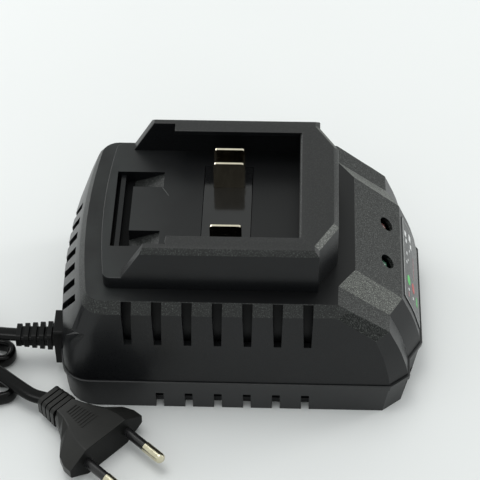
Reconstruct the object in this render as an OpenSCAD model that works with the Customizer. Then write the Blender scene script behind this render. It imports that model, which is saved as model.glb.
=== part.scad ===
// Desktop charger for slide-on power tool battery packs.
// Origin: centre of the casing's foot on the table. +X to the nose with the lights, +Y to the far
// side, +Z up. Millimetres.

/* [Casing] */
// Length of the casing along X at the seam between the shells
casing_l = 134.2; // [130:0.5:150]
// Width of the casing along Y at the seam
casing_w = 90; // [86:0.5:100]
// Height of the seam between the lower and the upper shell
seam_z = 14.5; // [13:0.5:18]
// Height of the ledge around the platform
ledge_z = 52.8; // [50:0.2:58]
// Height of the hood's foot, where the slope meets the nose
hood_z = 38; // [34:0.5:44]
// Thickness of the shells' walls
wall = 2.4; // [1.8:0.1:3]
// How far the lower shell's lip stands out around the seam
lip_out = 0.6; // [0.3:0.1:1]
// Height of the lip
lip_h = 2.5; // [1.5:0.1:4]
// Open seam between the shells
seam_gap = 0.4; // [0.2:0.1:0.8]
// Height of the lower shell's inner tongue
tongue_h = 2; // [1:0.1:3]

/* [Casing ends] */
// Radius of the bowed left end
bow_r = 230; // [120:5:400]
// How far the left end leans in from the seam to the ledge
left_lean = 10.9; // [6:0.1:12]
// How far the bevel along the ledge goes in at the left end
left_bevel = 2.2; // [1:0.1:4]
// Height over the seam at which the left end starts to lean
left_upright = 15.5; // [10:0.5:20]
// Radius of the left corners at the seam
left_corner_r = 10; // [6:0.5:14]
// How far the side walls lean in from the seam to the bevel
side_draft = 1.1; // [0.5:0.1:3]
// Bevel along the ledge
ledge_bevel = 3.5; // [2:0.1:5]
// How far the hood's foot stands back from the nose
hood_back = 8.1; // [5:0.1:12]
// How far the ledge's right edge stands back from the nose
ledge_back = 25.6; // [22:0.1:30]
// How far the shoulders beside the hood stand back
shoulder_back = 4.8; // [3:0.1:7]
// Half width of the hood and the nose
nose_half = 23.5; // [20:0.5:28]
// Distance of the shoulders' edges from the middle
shoulder_half = 31.6; // [29:0.2:34]
// Chamfer of the right corners at the seam
corner_cut = 6.9; // [4:0.1:9]

/* [Battery bay] */
// Height of the deck and the bay's floor over the ledge
deck_rise = 5.4; // [4.4:0.2:8]
// Height of the rails over the deck
rail_rise = 13.8; // [11:0.2:18]
// Width of the platform over the rails
platform_w = 69; // [66:0.5:74]
// Width between the rails' inner faces
bay_w = 61.4; // [58:0.2:63]
// Width between the lips on top of the rails
lip_gap = 53.4; // [50:0.2:56]
// Thickness of the lips
rail_lip_t = 1.8; // [1.2:0.1:3]
// X of the lips' left ends
rail_lip_x = -25; // [-30:0.5:-16]
// X of the rails' left ends at the top
rail_end_x = -32.8; // [-38:0.2:-28]
// How far the rails' left ends slant from top to deck
rail_slant = 8.1; // [4:0.1:10]
// X of the stop wall's face
stop_x = 21.2; // [18:0.2:24]
// X of the platform's right end
platform_x = 35.2; // [33:0.2:36]
// X of the deck's left end
deck_x = -49.8; // [-51:0.2:-48]
// Bevel around the platform's top
platform_bevel = 1.8; // [1:0.1:2.5]

/* [Latch recess] */
// X of the recess's left side
recess_x = -46; // [-46.5:0.1:-44]
// Half width of the recess over both arms
recess_half = 19; // [17:0.5:22]
// Half width of the tongue between the arms
latch_tongue_half = 11.2; // [8:0.2:13]
// X of the tongue's left end
latch_tongue_x = -39.8; // [-41:0.1:-38]
// X of the arms' right ends
arm_end_x = -28.7; // [-32:0.1:-26]
// Depth of the recess
recess_deep = 5; // [3:0.2:5.4]
// Step left at the arms' right ends
arm_step = 0.8; // [0.3:0.1:1.5]

/* [Terminals] */
// Length of the terminal block along X
block_l = 17.6; // [15:0.2:20]
// Width of the terminal block along Y
block_w = 44.4; // [42:0.2:48]
// X of the terminal block's middle
block_x = -4.9; // [-8:0.1:0]
// Depth of the terminal block under the bay's floor
block_deep = 8; // [6:0.2:10]
// Width of the flange under the deck around the block
block_flange = 2; // [1:0.1:3]
// Gap around the block in the deck
block_gap = 0.2; // [0.1:0.05:0.4]
// Width of a contact blade
blade_w = 11.3; // [9:0.1:12]
// Thickness of a contact blade
blade_t = 0.9; // [0.8:0.1:1.2]
// Height of the blades over the bay's floor
blade_h = 11.8; // [9:0.1:13]
// From the terminal block's ends to the outer blades' middles
blade_in = 2.75; // [2:0.05:4]
// Y of the middle blade
sense_y = 12; // [8:0.1:14]
// Radius of the blades' top corners
blade_r = 1.2; // [0.5:0.1:3]

/* [Vents] */
// Number of slots in each side wall
side_vents = 7; // [3:1:7]
// Distance between the side slots
side_pitch = 10.65; // [9:0.05:11]
// X of the first side slot's middle
side_vent_x = -38.9; // [-40:0.1:-36]
// Width of a side slot at its top
side_vent_w = 3.7; // [2:0.1:4.5]
// Height of the side slots' foot
side_vent_z = 34; // [28:0.5:40]
// Number of notches along each lower edge
foot_notches = 6; // [3:1:6]
// X of the first notch
notch_x = -28.7; // [-30:0.1:-26]
// Width of a notch
notch_w = 2.9; // [2:0.1:4]
// Height of the notches
notch_h = 7.7; // [5:0.1:10]
// Number of slanted slots in the left end
end_vents = 7; // [3:1:7]
// Distance between the slanted slots
end_pitch = 7.75; // [7:0.05:8]
// Width of a slanted slot along Y
end_vent_w = 3.4; // [2:0.1:4]
// Height of the slanted slots' tops
end_vent_z = 44; // [40:0.5:46]

/* [Lights] */
// Half the distance between the two lights
light_half = 9.5; // [7:0.1:14]
// Distance of the lights from the hood's top edge, along its slope
light_down = 16; // [12:0.1:18]
// Diameter of the light holes
light_hole_d = 6; // [5.4:0.1:7]
// Diameter of a light
light_d = 5; // [4:0.1:5.2]

/* [Lead] */
// Width of the flat lead
lead_w = 5.6; // [5:0.1:6.4]
// Thickness of the flat lead
lead_t = 2.9; // [2.4:0.1:3.4]
// Y of the strain relief
relief_y = -24; // [-26:0.5:-20]
// Width of the strain relief's block
relief_w = 11.8; // [10:0.2:13]
// Height of the strain relief's block
relief_h = 17.5; // [15:0.5:19]
// Number of ribs on the strain relief
relief_ribs = 5; // [3:1:6]
// Distance between the ribs
relief_pitch = 2.9; // [2.4:0.1:3.4]
// Length of the folded lead over its round ends
hank_l = 103.2; // [90:0.1:110]
// Width of the folded lead
hank_w = 33.7; // [30:0.1:40]

/* [Plug] */
// Width of the plug's front face
plug_w = 34.8; // [32:0.2:37]
// Thickness of the plug
plug_t = 13.7; // [12.5:0.1:15]
// Distance between the pins
pin_pitch = 19; // [17.5:0.1:19.5]
// Diameter of a pin
pin_d = 4; // [3.6:0.1:4.8]
// Length of a pin
pin_l = 19; // [17:0.5:20]
// Length of the insulating sleeve on a pin
sleeve_l = 10; // [8:0.5:11]

/* [Circuit board] */
// Room between the main board and each end of the casing
board_end_gap = 13.1; // [12:0.1:15]
// Width of the main board along Y
board_w = 56; // [54:0.5:57]
// Thickness of the boards
board_t = 1.6; // [1:0.1:2]
// Height of the posts under the main board
board_post_h = 5.6; // [4:0.1:7]

/* [Hidden] */
$fn = 48;
eps = 0.01;

half_l = casing_l / 2;
bevel_z = ledge_z - ledge_bevel;
deck_z = ledge_z + deck_rise;
top_z = deck_z + rail_rise;
upright_z = seam_z + left_upright;
lip_z = seam_z - lip_h;
board_l = casing_l - 2 * board_end_gap;
board_z = wall + board_post_h;
board_top = board_z + board_t;
fit = 0.1;                      // clearance of pieces that sit in each other
foot_back = 2.2;                // how far the nose tucks in down to the foot
foot_tuck = 0.7;                // how far the left end tucks in down to the foot
nose_bulge = 0.8;               // swell of the nose between hood and seam
upright_share = 1.4;            // part of the left end's lean that lies under upright_z

// ---- outline of the casing at height z, from the nose round by the far side, counter-clockwise
function swell(z) = z > seam_z && z < hood_z ? nose_bulge * sin(180 * (hood_z - z) / (hood_z - seam_z)) : 0;
function nose_x(z) = half_l + swell(z)
    - lookup(z, [[0, foot_back], [seam_z, 0], [hood_z, hood_back], [ledge_z, ledge_back]]);
function shoulder_x(z) = nose_x(z) - lookup(z, [[hood_z, shoulder_back], [ledge_z, shoulder_back + 1.2]]);
function corner_x(z) = shoulder_x(z) - 0.2;
function side_x(z) = corner_x(z)
    - lookup(z, [[seam_z, corner_cut], [hood_z, corner_cut - 1.9], [bevel_z, corner_cut - 2.1],
        [ledge_z, 0.4]]);
function half_w(z) = casing_w / 2
    - lookup(z, [[0, 0.2], [seam_z, 0], [bevel_z, side_draft], [ledge_z, side_draft + ledge_bevel]]);
function corner_y(z) = half_w(z) - lookup(z, [[seam_z, 5.5], [hood_z, 4.7], [bevel_z, 3.7], [ledge_z, 0.05]]);
function left_in(z) = z >= upright_z
    ? lookup(z, [[upright_z, upright_share], [bevel_z, left_lean - left_bevel], [ledge_z, left_lean]])
    : z >= seam_z ? upright_share * (1 - sin(90 * (upright_z - z) / (upright_z - seam_z)))
    : foot_tuck * (seam_z - z) / seam_z;
function left_r(z) = lookup(z, [[0, left_corner_r + 2], [seam_z, left_corner_r],
    [upright_z, left_corner_r + 3], [hood_z, left_corner_r + 3], [bevel_z, left_corner_r - 1.5],
    [ledge_z, left_corner_r - 4]]);
// how far the leaning face has cut into the upright left end; the bevel has round corners of its own
function left_cut(z) = z > upright_z && z < bevel_z ? left_in(z) - upright_share : 0;

// a bowed end with two round corners, from the far side to the near side; a cut moves the bow in past
// the corners, which it then meets in crisp edges
function bowed_end(x, half, big_r, small_r, cut = 0) =
    let (turn = asin((half - small_r) / (big_r - small_r)),
         cx = x - cut + big_r - (big_r - small_r) * cos(turn),
         cy = half - small_r,
         bx = x + big_r,
         d = norm([bx - cx, cy]),
         reach = (big_r * big_r - d * d - small_r * small_r) / (2 * d * small_r),
         meet = max(91, 180 - atan2(cy, bx - cx) - acos(min(1, max(-1, reach)))),
         from = atan2(cy + small_r * sin(meet), cx + small_r * cos(meet) - bx))
    concat([for (i = [0:5]) let (a = 90 + (meet - 90) * i / 5)
            [cx + small_r * cos(a), cy + small_r * sin(a)]],
        [for (i = [1:9]) let (a = from + (360 - 2 * from) * i / 10)
            [bx + big_r * cos(a), big_r * sin(a)]],
        [for (i = [0:5]) let (a = 360 - meet + (meet - 90) * i / 5)
            [cx + small_r * cos(a), -cy + small_r * sin(a)]]);

// outline at height z, drawn in by inset; tan22 carries the inset round a 45 degree corner
tan22 = tan(22.5);
function ring(z, inset = 0) =
    let (nx = nose_x(z) - inset, sx = shoulder_x(z) - inset, kx = corner_x(z) - inset,
         ex = side_x(z) - tan22 * inset, ny = nose_half - tan22 * inset,
         sy = shoulder_half - tan22 * inset, ky = corner_y(z) - tan22 * inset, hy = half_w(z) - inset)
    concat([[nx, -ny], [nx, ny], [sx, sy], [kx, ky], [ex, hy]],
        bowed_end(-half_l + left_in(z) + inset, hy, bow_r - inset, max(left_r(z) - inset, 0.6), left_cut(z)),
        [[ex, -hy], [kx, -ky], [sx, -sy]]);

// closed skin over rings of 3-D points with the same count, first ring lowest
module skin(rings) {
    n = len(rings[0]);
    m = len(rings);
    polyhedron(points = [for (r = rings) each r],
        faces = concat([[for (i = [n - 1:-1:0]) (n - 1) - i]], [[for (i = [n - 1:-1:0]) (m - 1) * n + i]],
            [for (j = [0:m - 2]) for (i = [0:n - 1]) let (k = (i + 1) % n, a = j * n, b = a + n)
                each [[a + i, b + i, b + k], [a + i, b + k, a + k]]]));
}
function at(z, outline) = [for (p = outline) [p.x, p.y, z]];
// body between [height, inset, height whose outline is used instead of its own] levels
module casing(levels) skin([for (l = levels) at(l[0], ring(is_undef(l[2]) ? l[0] : l[2], l[1]))]);

// tube of elliptical section along a route of [x, y, z, lean]; lean 0 lays its width flat
function unit(v) = v / norm(v);
function heading(r, i) = unit(xyz(r[min(i + 1, len(r) - 1)]) - xyz(r[max(i - 1, 0)]));
function xyz(p) = [p.x, p.y, p.z];
function tube_ring(r, i, w, t, sides, up) =
    let (d = heading(r, i), s = unit(cross(up, d)), u = cross(d, s), a = r[i][3],
         wide = cos(a) * s + sin(a) * u, thin = cos(a) * u - sin(a) * s)
    [for (k = [0:sides - 1]) let (turn = 360 * k / sides)
        xyz(r[i]) + wide * w / 2 * cos(turn) + thin * t / 2 * sin(turn)];
module tube(route, w, t, sides = 8, up = [0, 0, 1])
    skin([for (i = [0:len(route) - 1]) tube_ring(route, i, w, t, sides, up)]);

module rounded_rect(w, h, r) {
    square([w - 2 * r, h], center = true);
    square([w, h - 2 * r], center = true);
    for (x = [-1, 1]) for (y = [-1, 1]) translate([x * (w / 2 - r), y * (h / 2 - r)]) circle(r);
}
// rounded bar along -X from x0, section w along Y and h along Z
module bar_x(x0, l, w, h, r)
    translate([x0 - l, 0, 0]) rotate([90, 0, 90]) linear_extrude(l) rounded_rect(w, h, r);
module box(x0, x1, y0, y1, z0, z1) translate([x0, y0, z0]) cube([x1 - x0, y1 - y0, z1 - z0]);

// ---- fasteners
screw_left = 18.6;              // from the casing's left end to the left screws
screw_right = 25.1;
screw_side = [9.5, 11];         // from the sides to the left and to the right screws
screw_places = [for (y = [1, -1]) each [[-half_l + screw_left, y * (casing_w / 2 - screw_side[0])],
    [half_l - screw_right, y * (casing_w / 2 - screw_side[1])]]];
screw_r = 1.5;
screw_hole_r = 1.55;
boss_r = 3.8;
post_r = 4.4;
screw_seat_z = 5;
screw_head_r = 2.8;
screw_head_h = 2;
screw_top_z = 26;
boss_foot_z = seam_z - 0.6;
board_screw_r = 1.25;
board_screw_l = 5;
board_head_r = 2.4;
board_head_h = 1.6;
board_post_r = 3;
board_screw_in = [5, 4.5];      // from the board's edges to its screws
board_screw_places = [for (x = [-1, 1]) for (y = [-1, 1])
    [x * (board_l / 2 - board_screw_in[0]), y * (board_w / 2 - board_screw_in[1])]];

// ---- strain relief and lead
relief_x = -1.1;                // outer face of the block, from the casing's left end
relief_z = seam_z - 0.5;
relief_inner_l = 8;
relief_groove_x = relief_x + 4.6;
relief_corner_r = 1;
clamp_t = 1.3;                  // rib of each shell that grips the strain relief's groove
clamp_cut = 1.5;                // depth of that groove
clamp_half = 9;
rib_first = 1.2;                // from the block's face to the first rib
rib_l = 1.7;
last_rib_l = 1.8;
rib_w = 8.8;
rib_h = 8.1;
rib_rise = 0.5;                 // the ribs stand higher than the block's middle
relief_end_x = relief_x - relief_ribs * relief_pitch + 1;
lead_z = 14.5;

// lead from the strain relief down to the table, a fold, and on into the folded part; the lead's
// points stand in a frame at the casing's left end, level with the strain relief
lead_start = [[relief_end_x, 0, lead_z, 0], [-19.4, 0.2, 14.6, 0], [-24.9, 0.8, 14.5, 5],
    [-30.9, 2, 13.8, 12], [-37.4, 4.5, 12.2, 25], [-43.4, 8.5, 9.6, 45], [-47.4, 14.5, 6.6, 65],
    [-47.4, 21, 4.3, 85], [-43.4, 25.5, 3.2, 90], [-37.9, 25.2, 2.9, 90], [-33.7, 20.5, 2.9, 90],
    [-31.4, 14.5, 2.9, 90], [-28.9, 9, 2.9, 90], [-24.9, 5.2, 2.9, 90], [-21.6, 4.5, 2.9, 90],
    [-19.2, 2.7, 2.9, 90], [-18.7, 0, 2.9, 90], [-20.2, -2.6, 2.9, 90], [-23.4, -3.4, 2.9, 90],
    [-28.9, -2.8, 3, 90], [-35.9, -1.2, 3.2, 90], [-42.9, 1, 3.5, 90], [-52.2, 3.1, 3.6, 90]];
// lead from the folded part round a second fold and over it to the plug
lead_end = [[-52.2, -27.7, 3.6, 90], [-45.9, -28, 3.5, 90], [-38.9, -27.8, 3.3, 90],
    [-32.4, -26.3, 3, 90], [-26.4, -23.6, 2.9, 90], [-21.1, -21.4, 2.9, 90], [-17.5, -20, 2.9, 90],
    [-16.1, -17, 2.9, 90], [-17.5, -14, 2.9, 90], [-20.9, -12.9, 2.9, 90], [-26.4, -13.2, 2.9, 90],
    [-31.7, -13.6, 2.9, 90], [-36.1, -11.6, 3, 88], [-37.3, -7.4, 3.4, 80], [-34.5, -4.9, 4.4, 60],
    [-30.1, -6.2, 5.8, 30], [-25.1, -9.9, 6.9, 8], [-19.3, -14.4, 7.3, 0], [-13.1, -19.2, 7.2, 0],
    [-7.9, -22.6, 7, 0], [-1.9, -24.3, plug_t / 2, 0]];
hank_x = -62.9;                 // middle of the folded part's right round end
hank_y = -12;
hank_z = 0.8;
hank_h = 2 * lead_w + 0.3;
hank_r = hank_w / 2;
hank_run = hank_l - hank_w;
tie_w = 8;
tie_t = 0.7;

// ---- plug, drawn with its front face at x = 0 and its pins along +X
plug_at = [21.2, -45.2, plug_t / 2];
plug_turn = -42.3;
collar_l = 9;
plug_l = 31;
sleeve_d = pin_d - 0.4;
pin_core_r = sleeve_d / 2 - 0.4;
pin_root = 10;                  // length of a pin inside the plug's body
pin_fit = 0.02;
// [x, half width at the middle, half width at the top, half height]
plug_stations = [[-22, 0.30, 0.22, 0.38], [-17, 0.43, 0.28, 0.45], [-13, 0.60, 0.37, 0.48],
    [-8, 0.89, 0.49, 0.5], [-4, 0.99, 0.54, 0.5], [0, 1, 0.55, 0.5]];
function plug_ring(s) = let (m = s[1] * plug_w / 2, t = s[2] * plug_w / 2, h = s[3] * plug_t, b = 1.9)
    [[s[0], -t, -h], [s[0], t, -h], [s[0], m, -b], [s[0], m, b], [s[0], t, h], [s[0], -t, h],
     [s[0], -m, b], [s[0], -m, -b]];

// ---- platform and bay
rail_half = platform_w / 2;
bay_half = bay_w / 2;
step_x = platform_x - 6.7;      // where the right end's slanted faces end
step_y = rail_half - 3.5;
stop_half = 20;
stop_bevel = 0.9;
deck_corner_r = 3;
function platform_right(i) = [[platform_x - i, -stop_half + 0.3 * i], [platform_x - i, stop_half - 0.3 * i],
    [step_x - i, step_y - 0.3 * i], [step_x - i, rail_half - i]];
function deck_outline(i) = concat(platform_right(i),
    bowed_end(deck_x + i, rail_half - i, bow_r - i, deck_corner_r - min(i, 2)),
    [[step_x - i, -rail_half + i], [step_x - i, -step_y + 0.3 * i]]);
function rail_outline(i) = concat(platform_right(i), [[deck_x, rail_half - i], [deck_x, -rail_half + i],
    [step_x - i, -rail_half + i], [step_x - i, -step_y + 0.3 * i]]);
deck_under = deck_z - wall;
recess_floor = deck_z - recess_deep;

// ---- terminals
blade_y = block_w / 2 - blade_in;
block_x0 = block_x - block_l / 2;
block_x1 = block_x + block_l / 2;
blade_x = block_x + 0.35;
blade_ys = [blade_y, sense_y, -blade_y];
block_foot = deck_z - block_deep;
tail_w = 6;
tail_deep = 5;
tail_foot = 1;                  // wide foot of a blade under the block
flange_t = 2.4;
slot_fit = 0.05;

// ---- lights, in a frame that lies on the hood's slope
slope_run = ledge_back - hood_back;
slope_turn = atan2(ledge_z - hood_z, slope_run);
module on_slope(down, y, rise = 0) translate([half_l - ledge_back, y, ledge_z])
    rotate([0, slope_turn, 0]) translate([down, 0, rise]) children();
light_deep = 1.4;               // from the slope down to the top of a light
light_l = 8.6;
light_flange = 0.4;
light_flange_h = 1;
light_board_l = 10;
light_board_w = 2 * light_half + 20;
light_board_deep = light_deep + light_l;
peg_y = light_half + 6.5;
peg_r = 2.2;
peg_screw_r = 0.85;
peg_head_r = 1.8;
peg_head_h = 1.2;
peg_screw_l = 4.5;

module screw(head_r, head_h, shank_r, shank_l) {
    cylinder(r = head_r, h = head_h);
    translate([0, 0, head_h]) cylinder(r = shank_r, h = shank_l);
}

module lead_place(z = 0) translate([-half_l, relief_y, z]) children();
module relief_opening() lead_place(relief_z) bar_x(relief_x + relief_inner_l, 2 * relief_inner_l,
    relief_w + 2 * fit, relief_h + 2 * fit, relief_corner_r);
module relief_core(grow) bar_x(relief_groove_x + clamp_t + 3, clamp_t + 6,
    relief_w - 2 * clamp_cut + 2 * grow, relief_h - 2 * clamp_cut + 2 * grow, relief_corner_r);
module clamp_rib(z0, z1) difference() {
    lead_place() box(relief_groove_x + fit, relief_groove_x + fit + clamp_t, -clamp_half, clamp_half, z0, z1);
    lead_place(relief_z) relief_core(fit);
}

module lower_shell() color("#2a2b2d") difference() {
    union() {
        difference() {
            union() {
                casing([[0, 0], [lip_z, 0], [lip_z + 0.3, -lip_out], [seam_z, -lip_out]]);
                casing([[lip_z, tongue_in, seam_z], [seam_z + tongue_h, tongue_in, seam_z]]);
            }
            casing([[wall, wall], [lip_z, wall], [seam_z + tongue_h + 1, wall, lip_z]]);
            relief_opening();
            for (y = [-1, 1]) for (i = [0:foot_notches - 1])
                translate([notch_x + i * side_pitch, y * half_w(0), 0])
                    cube([notch_w, 2 * wall + 1.5, 2 * notch_h], center = true);
        }
        for (p = screw_places) translate([p.x, p.y, wall - eps])
            cylinder(r = post_r, h = boss_foot_z - wall + eps);
        for (p = board_screw_places) translate([p.x, p.y, wall - eps])
            cylinder(r = board_post_r, h = board_post_h + eps);
        clamp_rib(wall - eps, seam_z);
    }
    for (p = screw_places) translate([p.x, p.y, -1]) {
        cylinder(r = screw_hole_r + 0.15, h = seam_z + 1);
        cylinder(r = screw_head_r + 0.3, h = screw_seat_z + 1);
    }
    for (p = board_screw_places) translate([p.x, p.y, wall + 0.6])
        cylinder(r = board_screw_r + 0.03, h = board_post_h);
    box(-plate_l / 2, plate_l / 2, -plate_w / 2, plate_w / 2, -1, plate_sunk);
}

upper_levels = [seam_z + seam_gap, seam_z + 5.5, (seam_z + upright_z + 8) / 2, upright_z,
    hood_z, bevel_z, ledge_z];
tongue_in = 1.4;                // from the outline to the tongue's outer face
rebate_z = seam_z + tongue_h + 0.2;
cavity_levels = concat([rebate_z], [for (i = [1:5]) upper_levels[i]], [ledge_z - wall]);
plate_l = 62;
plate_w = 38;
plate_t = 0.3;
plate_sunk = 0.5;
module rating_plate() color("#c9cac6") translate([0, 0, plate_sunk - plate_t / 2])
    cube([plate_l - 2 * fit, plate_w - 2 * fit, plate_t], center = true);

module upper_shell() color("#333537") difference() {
    union() {
        difference() {
            union() {
                casing(concat([[seam_z - 1, 0, seam_z]], [for (i = [1:6]) [upper_levels[i], 0]]));
                platform();
            }
            box(-casing_l, casing_l, -casing_w, casing_w, 0, seam_z + seam_gap);
            casing(concat([[seam_z - 2, wall, rebate_z]], [for (z = cavity_levels) [z, wall]]));
            casing([[seam_z - 3, tongue_in - fit, seam_z], [rebate_z, tongue_in - fit, seam_z]]);
            relief_opening();
            side_slots();
            end_slots();
        }
        intersection() {
            for (p = screw_places) translate([p.x, p.y, boss_foot_z])
                cylinder(r = boss_r, h = ledge_z - wall - boss_foot_z + 0.5);
            casing([[boss_foot_z - 1, 1.5], [upright_z, 1], [hood_z, 1], [bevel_z, 1], [ledge_z - 0.5, 1]]);
        }
        intersection() {
            clamp_rib(seam_z + 0.1, upright_z);
            casing([[seam_z - 1, 1.5], [upright_z + 1, 1.5]]);
        }
        light_pegs();
    }
    deck_hollow();
    translate([0, 0, deck_under - 1]) linear_extrude(wall + 2)
        translate([block_x, 0]) square([block_l + 2 * block_gap, block_w + 2 * block_gap], center = true);
    latch_recess();
    for (y = [-1, 1]) on_slope(light_down, y * light_half, -4) cylinder(d = light_hole_d, h = 8);
    for (y = [-1, 1]) on_slope(light_down, y * peg_y, -light_board_deep - 1)
        cylinder(r = peg_screw_r + 0.05, h = peg_screw_l + 1.5);
    for (p = screw_places) translate([p.x, p.y, boss_foot_z - 1])
        cylinder(r = screw_hole_r, h = screw_top_z + 1.5 - boss_foot_z);
}

module side_slots() for (y = [-1, 1]) for (i = [0:side_vents - 1])
    translate([side_vent_x + i * side_pitch, y * (casing_w / 2 - 2.3), 0]) rotate([90, 0, 0])
        linear_extrude(8, center = true)
            polygon([[-side_vent_w / 2, ledge_z - 0.2], [-side_vent_w / 2 + 0.5, side_vent_z],
                [side_vent_w / 2 - 0.5, side_vent_z], [side_vent_w / 2, ledge_z - 0.2]]);

end_vent_y = 15.3;              // middle of the first slanted slot's top
end_vent_drop = 19;
end_vent_shift = 10.6;
module end_slots() for (i = [0:end_vents - 1])
    translate([-half_l - 2, end_vent_y - i * end_pitch, 0]) rotate([90, 0, 90]) linear_extrude(16.5)
        polygon([[-end_vent_w / 2, end_vent_z], [end_vent_w / 2, end_vent_z],
            [end_vent_w / 2 + end_vent_shift, end_vent_z - end_vent_drop],
            [-end_vent_w / 2 + end_vent_shift, end_vent_z - end_vent_drop]]);

module platform() {
    translate([0, 0, ledge_z - 1]) linear_extrude(deck_rise + 1) polygon(deck_outline(0));
    difference() {
        skin([at(deck_z - 1, rail_outline(0)), at(top_z - platform_bevel, rail_outline(0)),
            at(top_z, rail_outline(platform_bevel))]);
        rotate([90, 0, 0]) linear_extrude(casing_w, center = true)
            polygon([[deck_x - 5, deck_z - 2], [rail_end_x - rail_slant, deck_z - 2],
                [rail_end_x - rail_slant, deck_z], [rail_end_x, top_z], [rail_end_x + 0.6, top_z + 1],
                [deck_x - 5, top_z + 1]]);
        box(deck_x - 1, stop_x, -bay_half, bay_half, deck_z, top_z - rail_lip_t);
        box(deck_x - 1, rail_lip_x, -bay_half, bay_half, deck_z, top_z + 1);
        rotate([90, 0, 0]) linear_extrude(lip_gap, center = true)
            polygon([[deck_x - 1, deck_z], [stop_x, deck_z], [stop_x, top_z - stop_bevel],
                [stop_x + stop_bevel, top_z], [stop_x + stop_bevel, top_z + 1], [deck_x - 1, top_z + 1]]);
    }
}

module deck_hollow() {
    difference() {
        translate([0, 0, ledge_z - wall - 1]) linear_extrude(deck_rise + 1) polygon(deck_outline(wall));
        box(recess_x - 2, arm_end_x + 2, -recess_half - 2, recess_half + 2, recess_floor - 2, deck_z);
    }
    skin([at(ledge_z - wall - 1, stop_hollow()), at(top_z - wall, stop_hollow())]);
}
function stop_hollow() = [[platform_x - 3, -stop_half + 2], [platform_x - 3, stop_half - 2],
    [step_x - 2, step_y - 5], [stop_x + 2, step_y - 5], [stop_x + 2, -step_y + 5], [step_x - 2, -step_y + 5]];

rib_x = recess_x + 1.3;
rib_t = 1.7;
rib_down = 1.7;
module latch_recess() difference() {
    union() {
        box(recess_x, latch_tongue_x, -recess_half, recess_half, recess_floor, deck_z + 1);
        for (y = [-1, 1]) translate([0, y * (recess_half + latch_tongue_half) / 2, 0]) rotate([90, 0, 0])
            linear_extrude(recess_half - latch_tongue_half, center = true)
                polygon([[latch_tongue_x - 1, recess_floor], [latch_tongue_x, recess_floor],
                    [arm_end_x, deck_z - arm_step], [arm_end_x, deck_z + 1],
                    [latch_tongue_x - 1, deck_z + 1]]);
    }
    box(rib_x, rib_x + rib_t, -recess_half - 1, recess_half + 1, recess_floor - 1, deck_z - rib_down);
}

module light_pegs() intersection() {
    for (y = [-1, 1]) on_slope(light_down, y * peg_y, -light_board_deep)
        cylinder(r = peg_r, h = light_board_deep);
    casing([[upright_z - 10, 1], [upright_z, 1], [hood_z, 1], [bevel_z, 1], [ledge_z - 1, 1]]);
}

module housing_screws() color("#8f9296") for (p = screw_places)
    translate([p.x, p.y, screw_seat_z - screw_head_h])
        screw(screw_head_r, screw_head_h, screw_r, screw_top_z - screw_seat_z);

label_half = 20;
label_t = 0.3;
label_low = seam_z + 3;
label_high = hood_z - 2;
label_levels = [label_low, upper_levels[1], upper_levels[2], upper_levels[3], label_high];
function nose_face_x(z) = lookup(z, [for (l = upper_levels) [l, nose_x(l)]]);
module front_label() color("#1d1f21") rotate([90, 0, 0]) linear_extrude(2 * label_half, center = true)
    polygon(concat([for (z = label_levels) [nose_face_x(z), z]],
        [for (i = [len(label_levels) - 1:-1:0]) [nose_face_x(label_levels[i]) + label_t, label_levels[i]]]));

module terminal_block() color("#1b1c1e") difference() {
    union() {
        box(block_x0, block_x1, -block_w / 2, block_w / 2, block_foot, deck_z);
        translate([block_x, 0, deck_under - flange_t / 2])
            cube([block_l + 2 * block_flange, block_w + 2 * block_flange, flange_t], center = true);
    }
    for (y = blade_ys) box(blade_x - blade_w / 2 - slot_fit, blade_x + blade_w / 2 + slot_fit,
        y - blade_t / 2 - slot_fit, y + blade_t / 2 + slot_fit, block_foot - 1, deck_z + 1);
}

module blade(y) color("#c9c3a8") translate([blade_x, y, 0]) rotate([90, 0, 0])
    linear_extrude(blade_t, center = true) {
        translate([-blade_w / 2, block_foot]) square([blade_w, deck_z + blade_h - blade_r - block_foot]);
        translate([-blade_w / 2 + blade_r, block_foot])
            square([blade_w - 2 * blade_r, deck_z + blade_h - block_foot]);
        for (x = [-1, 1]) translate([x * (blade_w / 2 - blade_r), deck_z + blade_h - blade_r]) circle(blade_r);
        translate([-blade_w / 2 - tail_foot, block_foot - tail_foot])
            square([blade_w + 2 * tail_foot, tail_foot]);
        translate([-tail_w / 2, block_foot - tail_deep]) square([tail_w, tail_deep]);
    }
module contact_blade_a() blade(blade_y);
module contact_blade_b() blade(sense_y);
module contact_blade_c() blade(-blade_y);

module light(y) on_slope(light_down, y, -light_board_deep) {
    cylinder(r = light_d / 2 + light_flange, h = light_flange_h);
    cylinder(d = light_d, h = light_l - light_d / 2);
    translate([0, 0, light_l - light_d / 2]) sphere(d = light_d);
}
module red_light() color("#8c2a2a") light(light_half);
module green_light() color("#2f7d3f") light(-light_half);
module light_board() color("#3b6b3f") difference() {
    on_slope(light_down, 0, -light_board_deep - board_t / 2)
        cube([light_board_l, light_board_w, board_t], center = true);
    for (y = [-1, 1]) on_slope(light_down, y * peg_y, -light_board_deep - 2 * board_t)
        cylinder(r = peg_screw_r + 0.15, h = 3 * board_t);
}
light_lead_in = light_board_deep + board_t;
light_lead_x = half_l - ledge_back + light_down * cos(slope_turn) - light_lead_in * sin(slope_turn);
light_lead_z = ledge_z - light_down * sin(slope_turn) - light_lead_in * cos(slope_turn);
light_lead_foot = 0.356;        // as a share of the board's length
light_lead_d = 1.2;
light_lead_pitch = 4;
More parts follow.
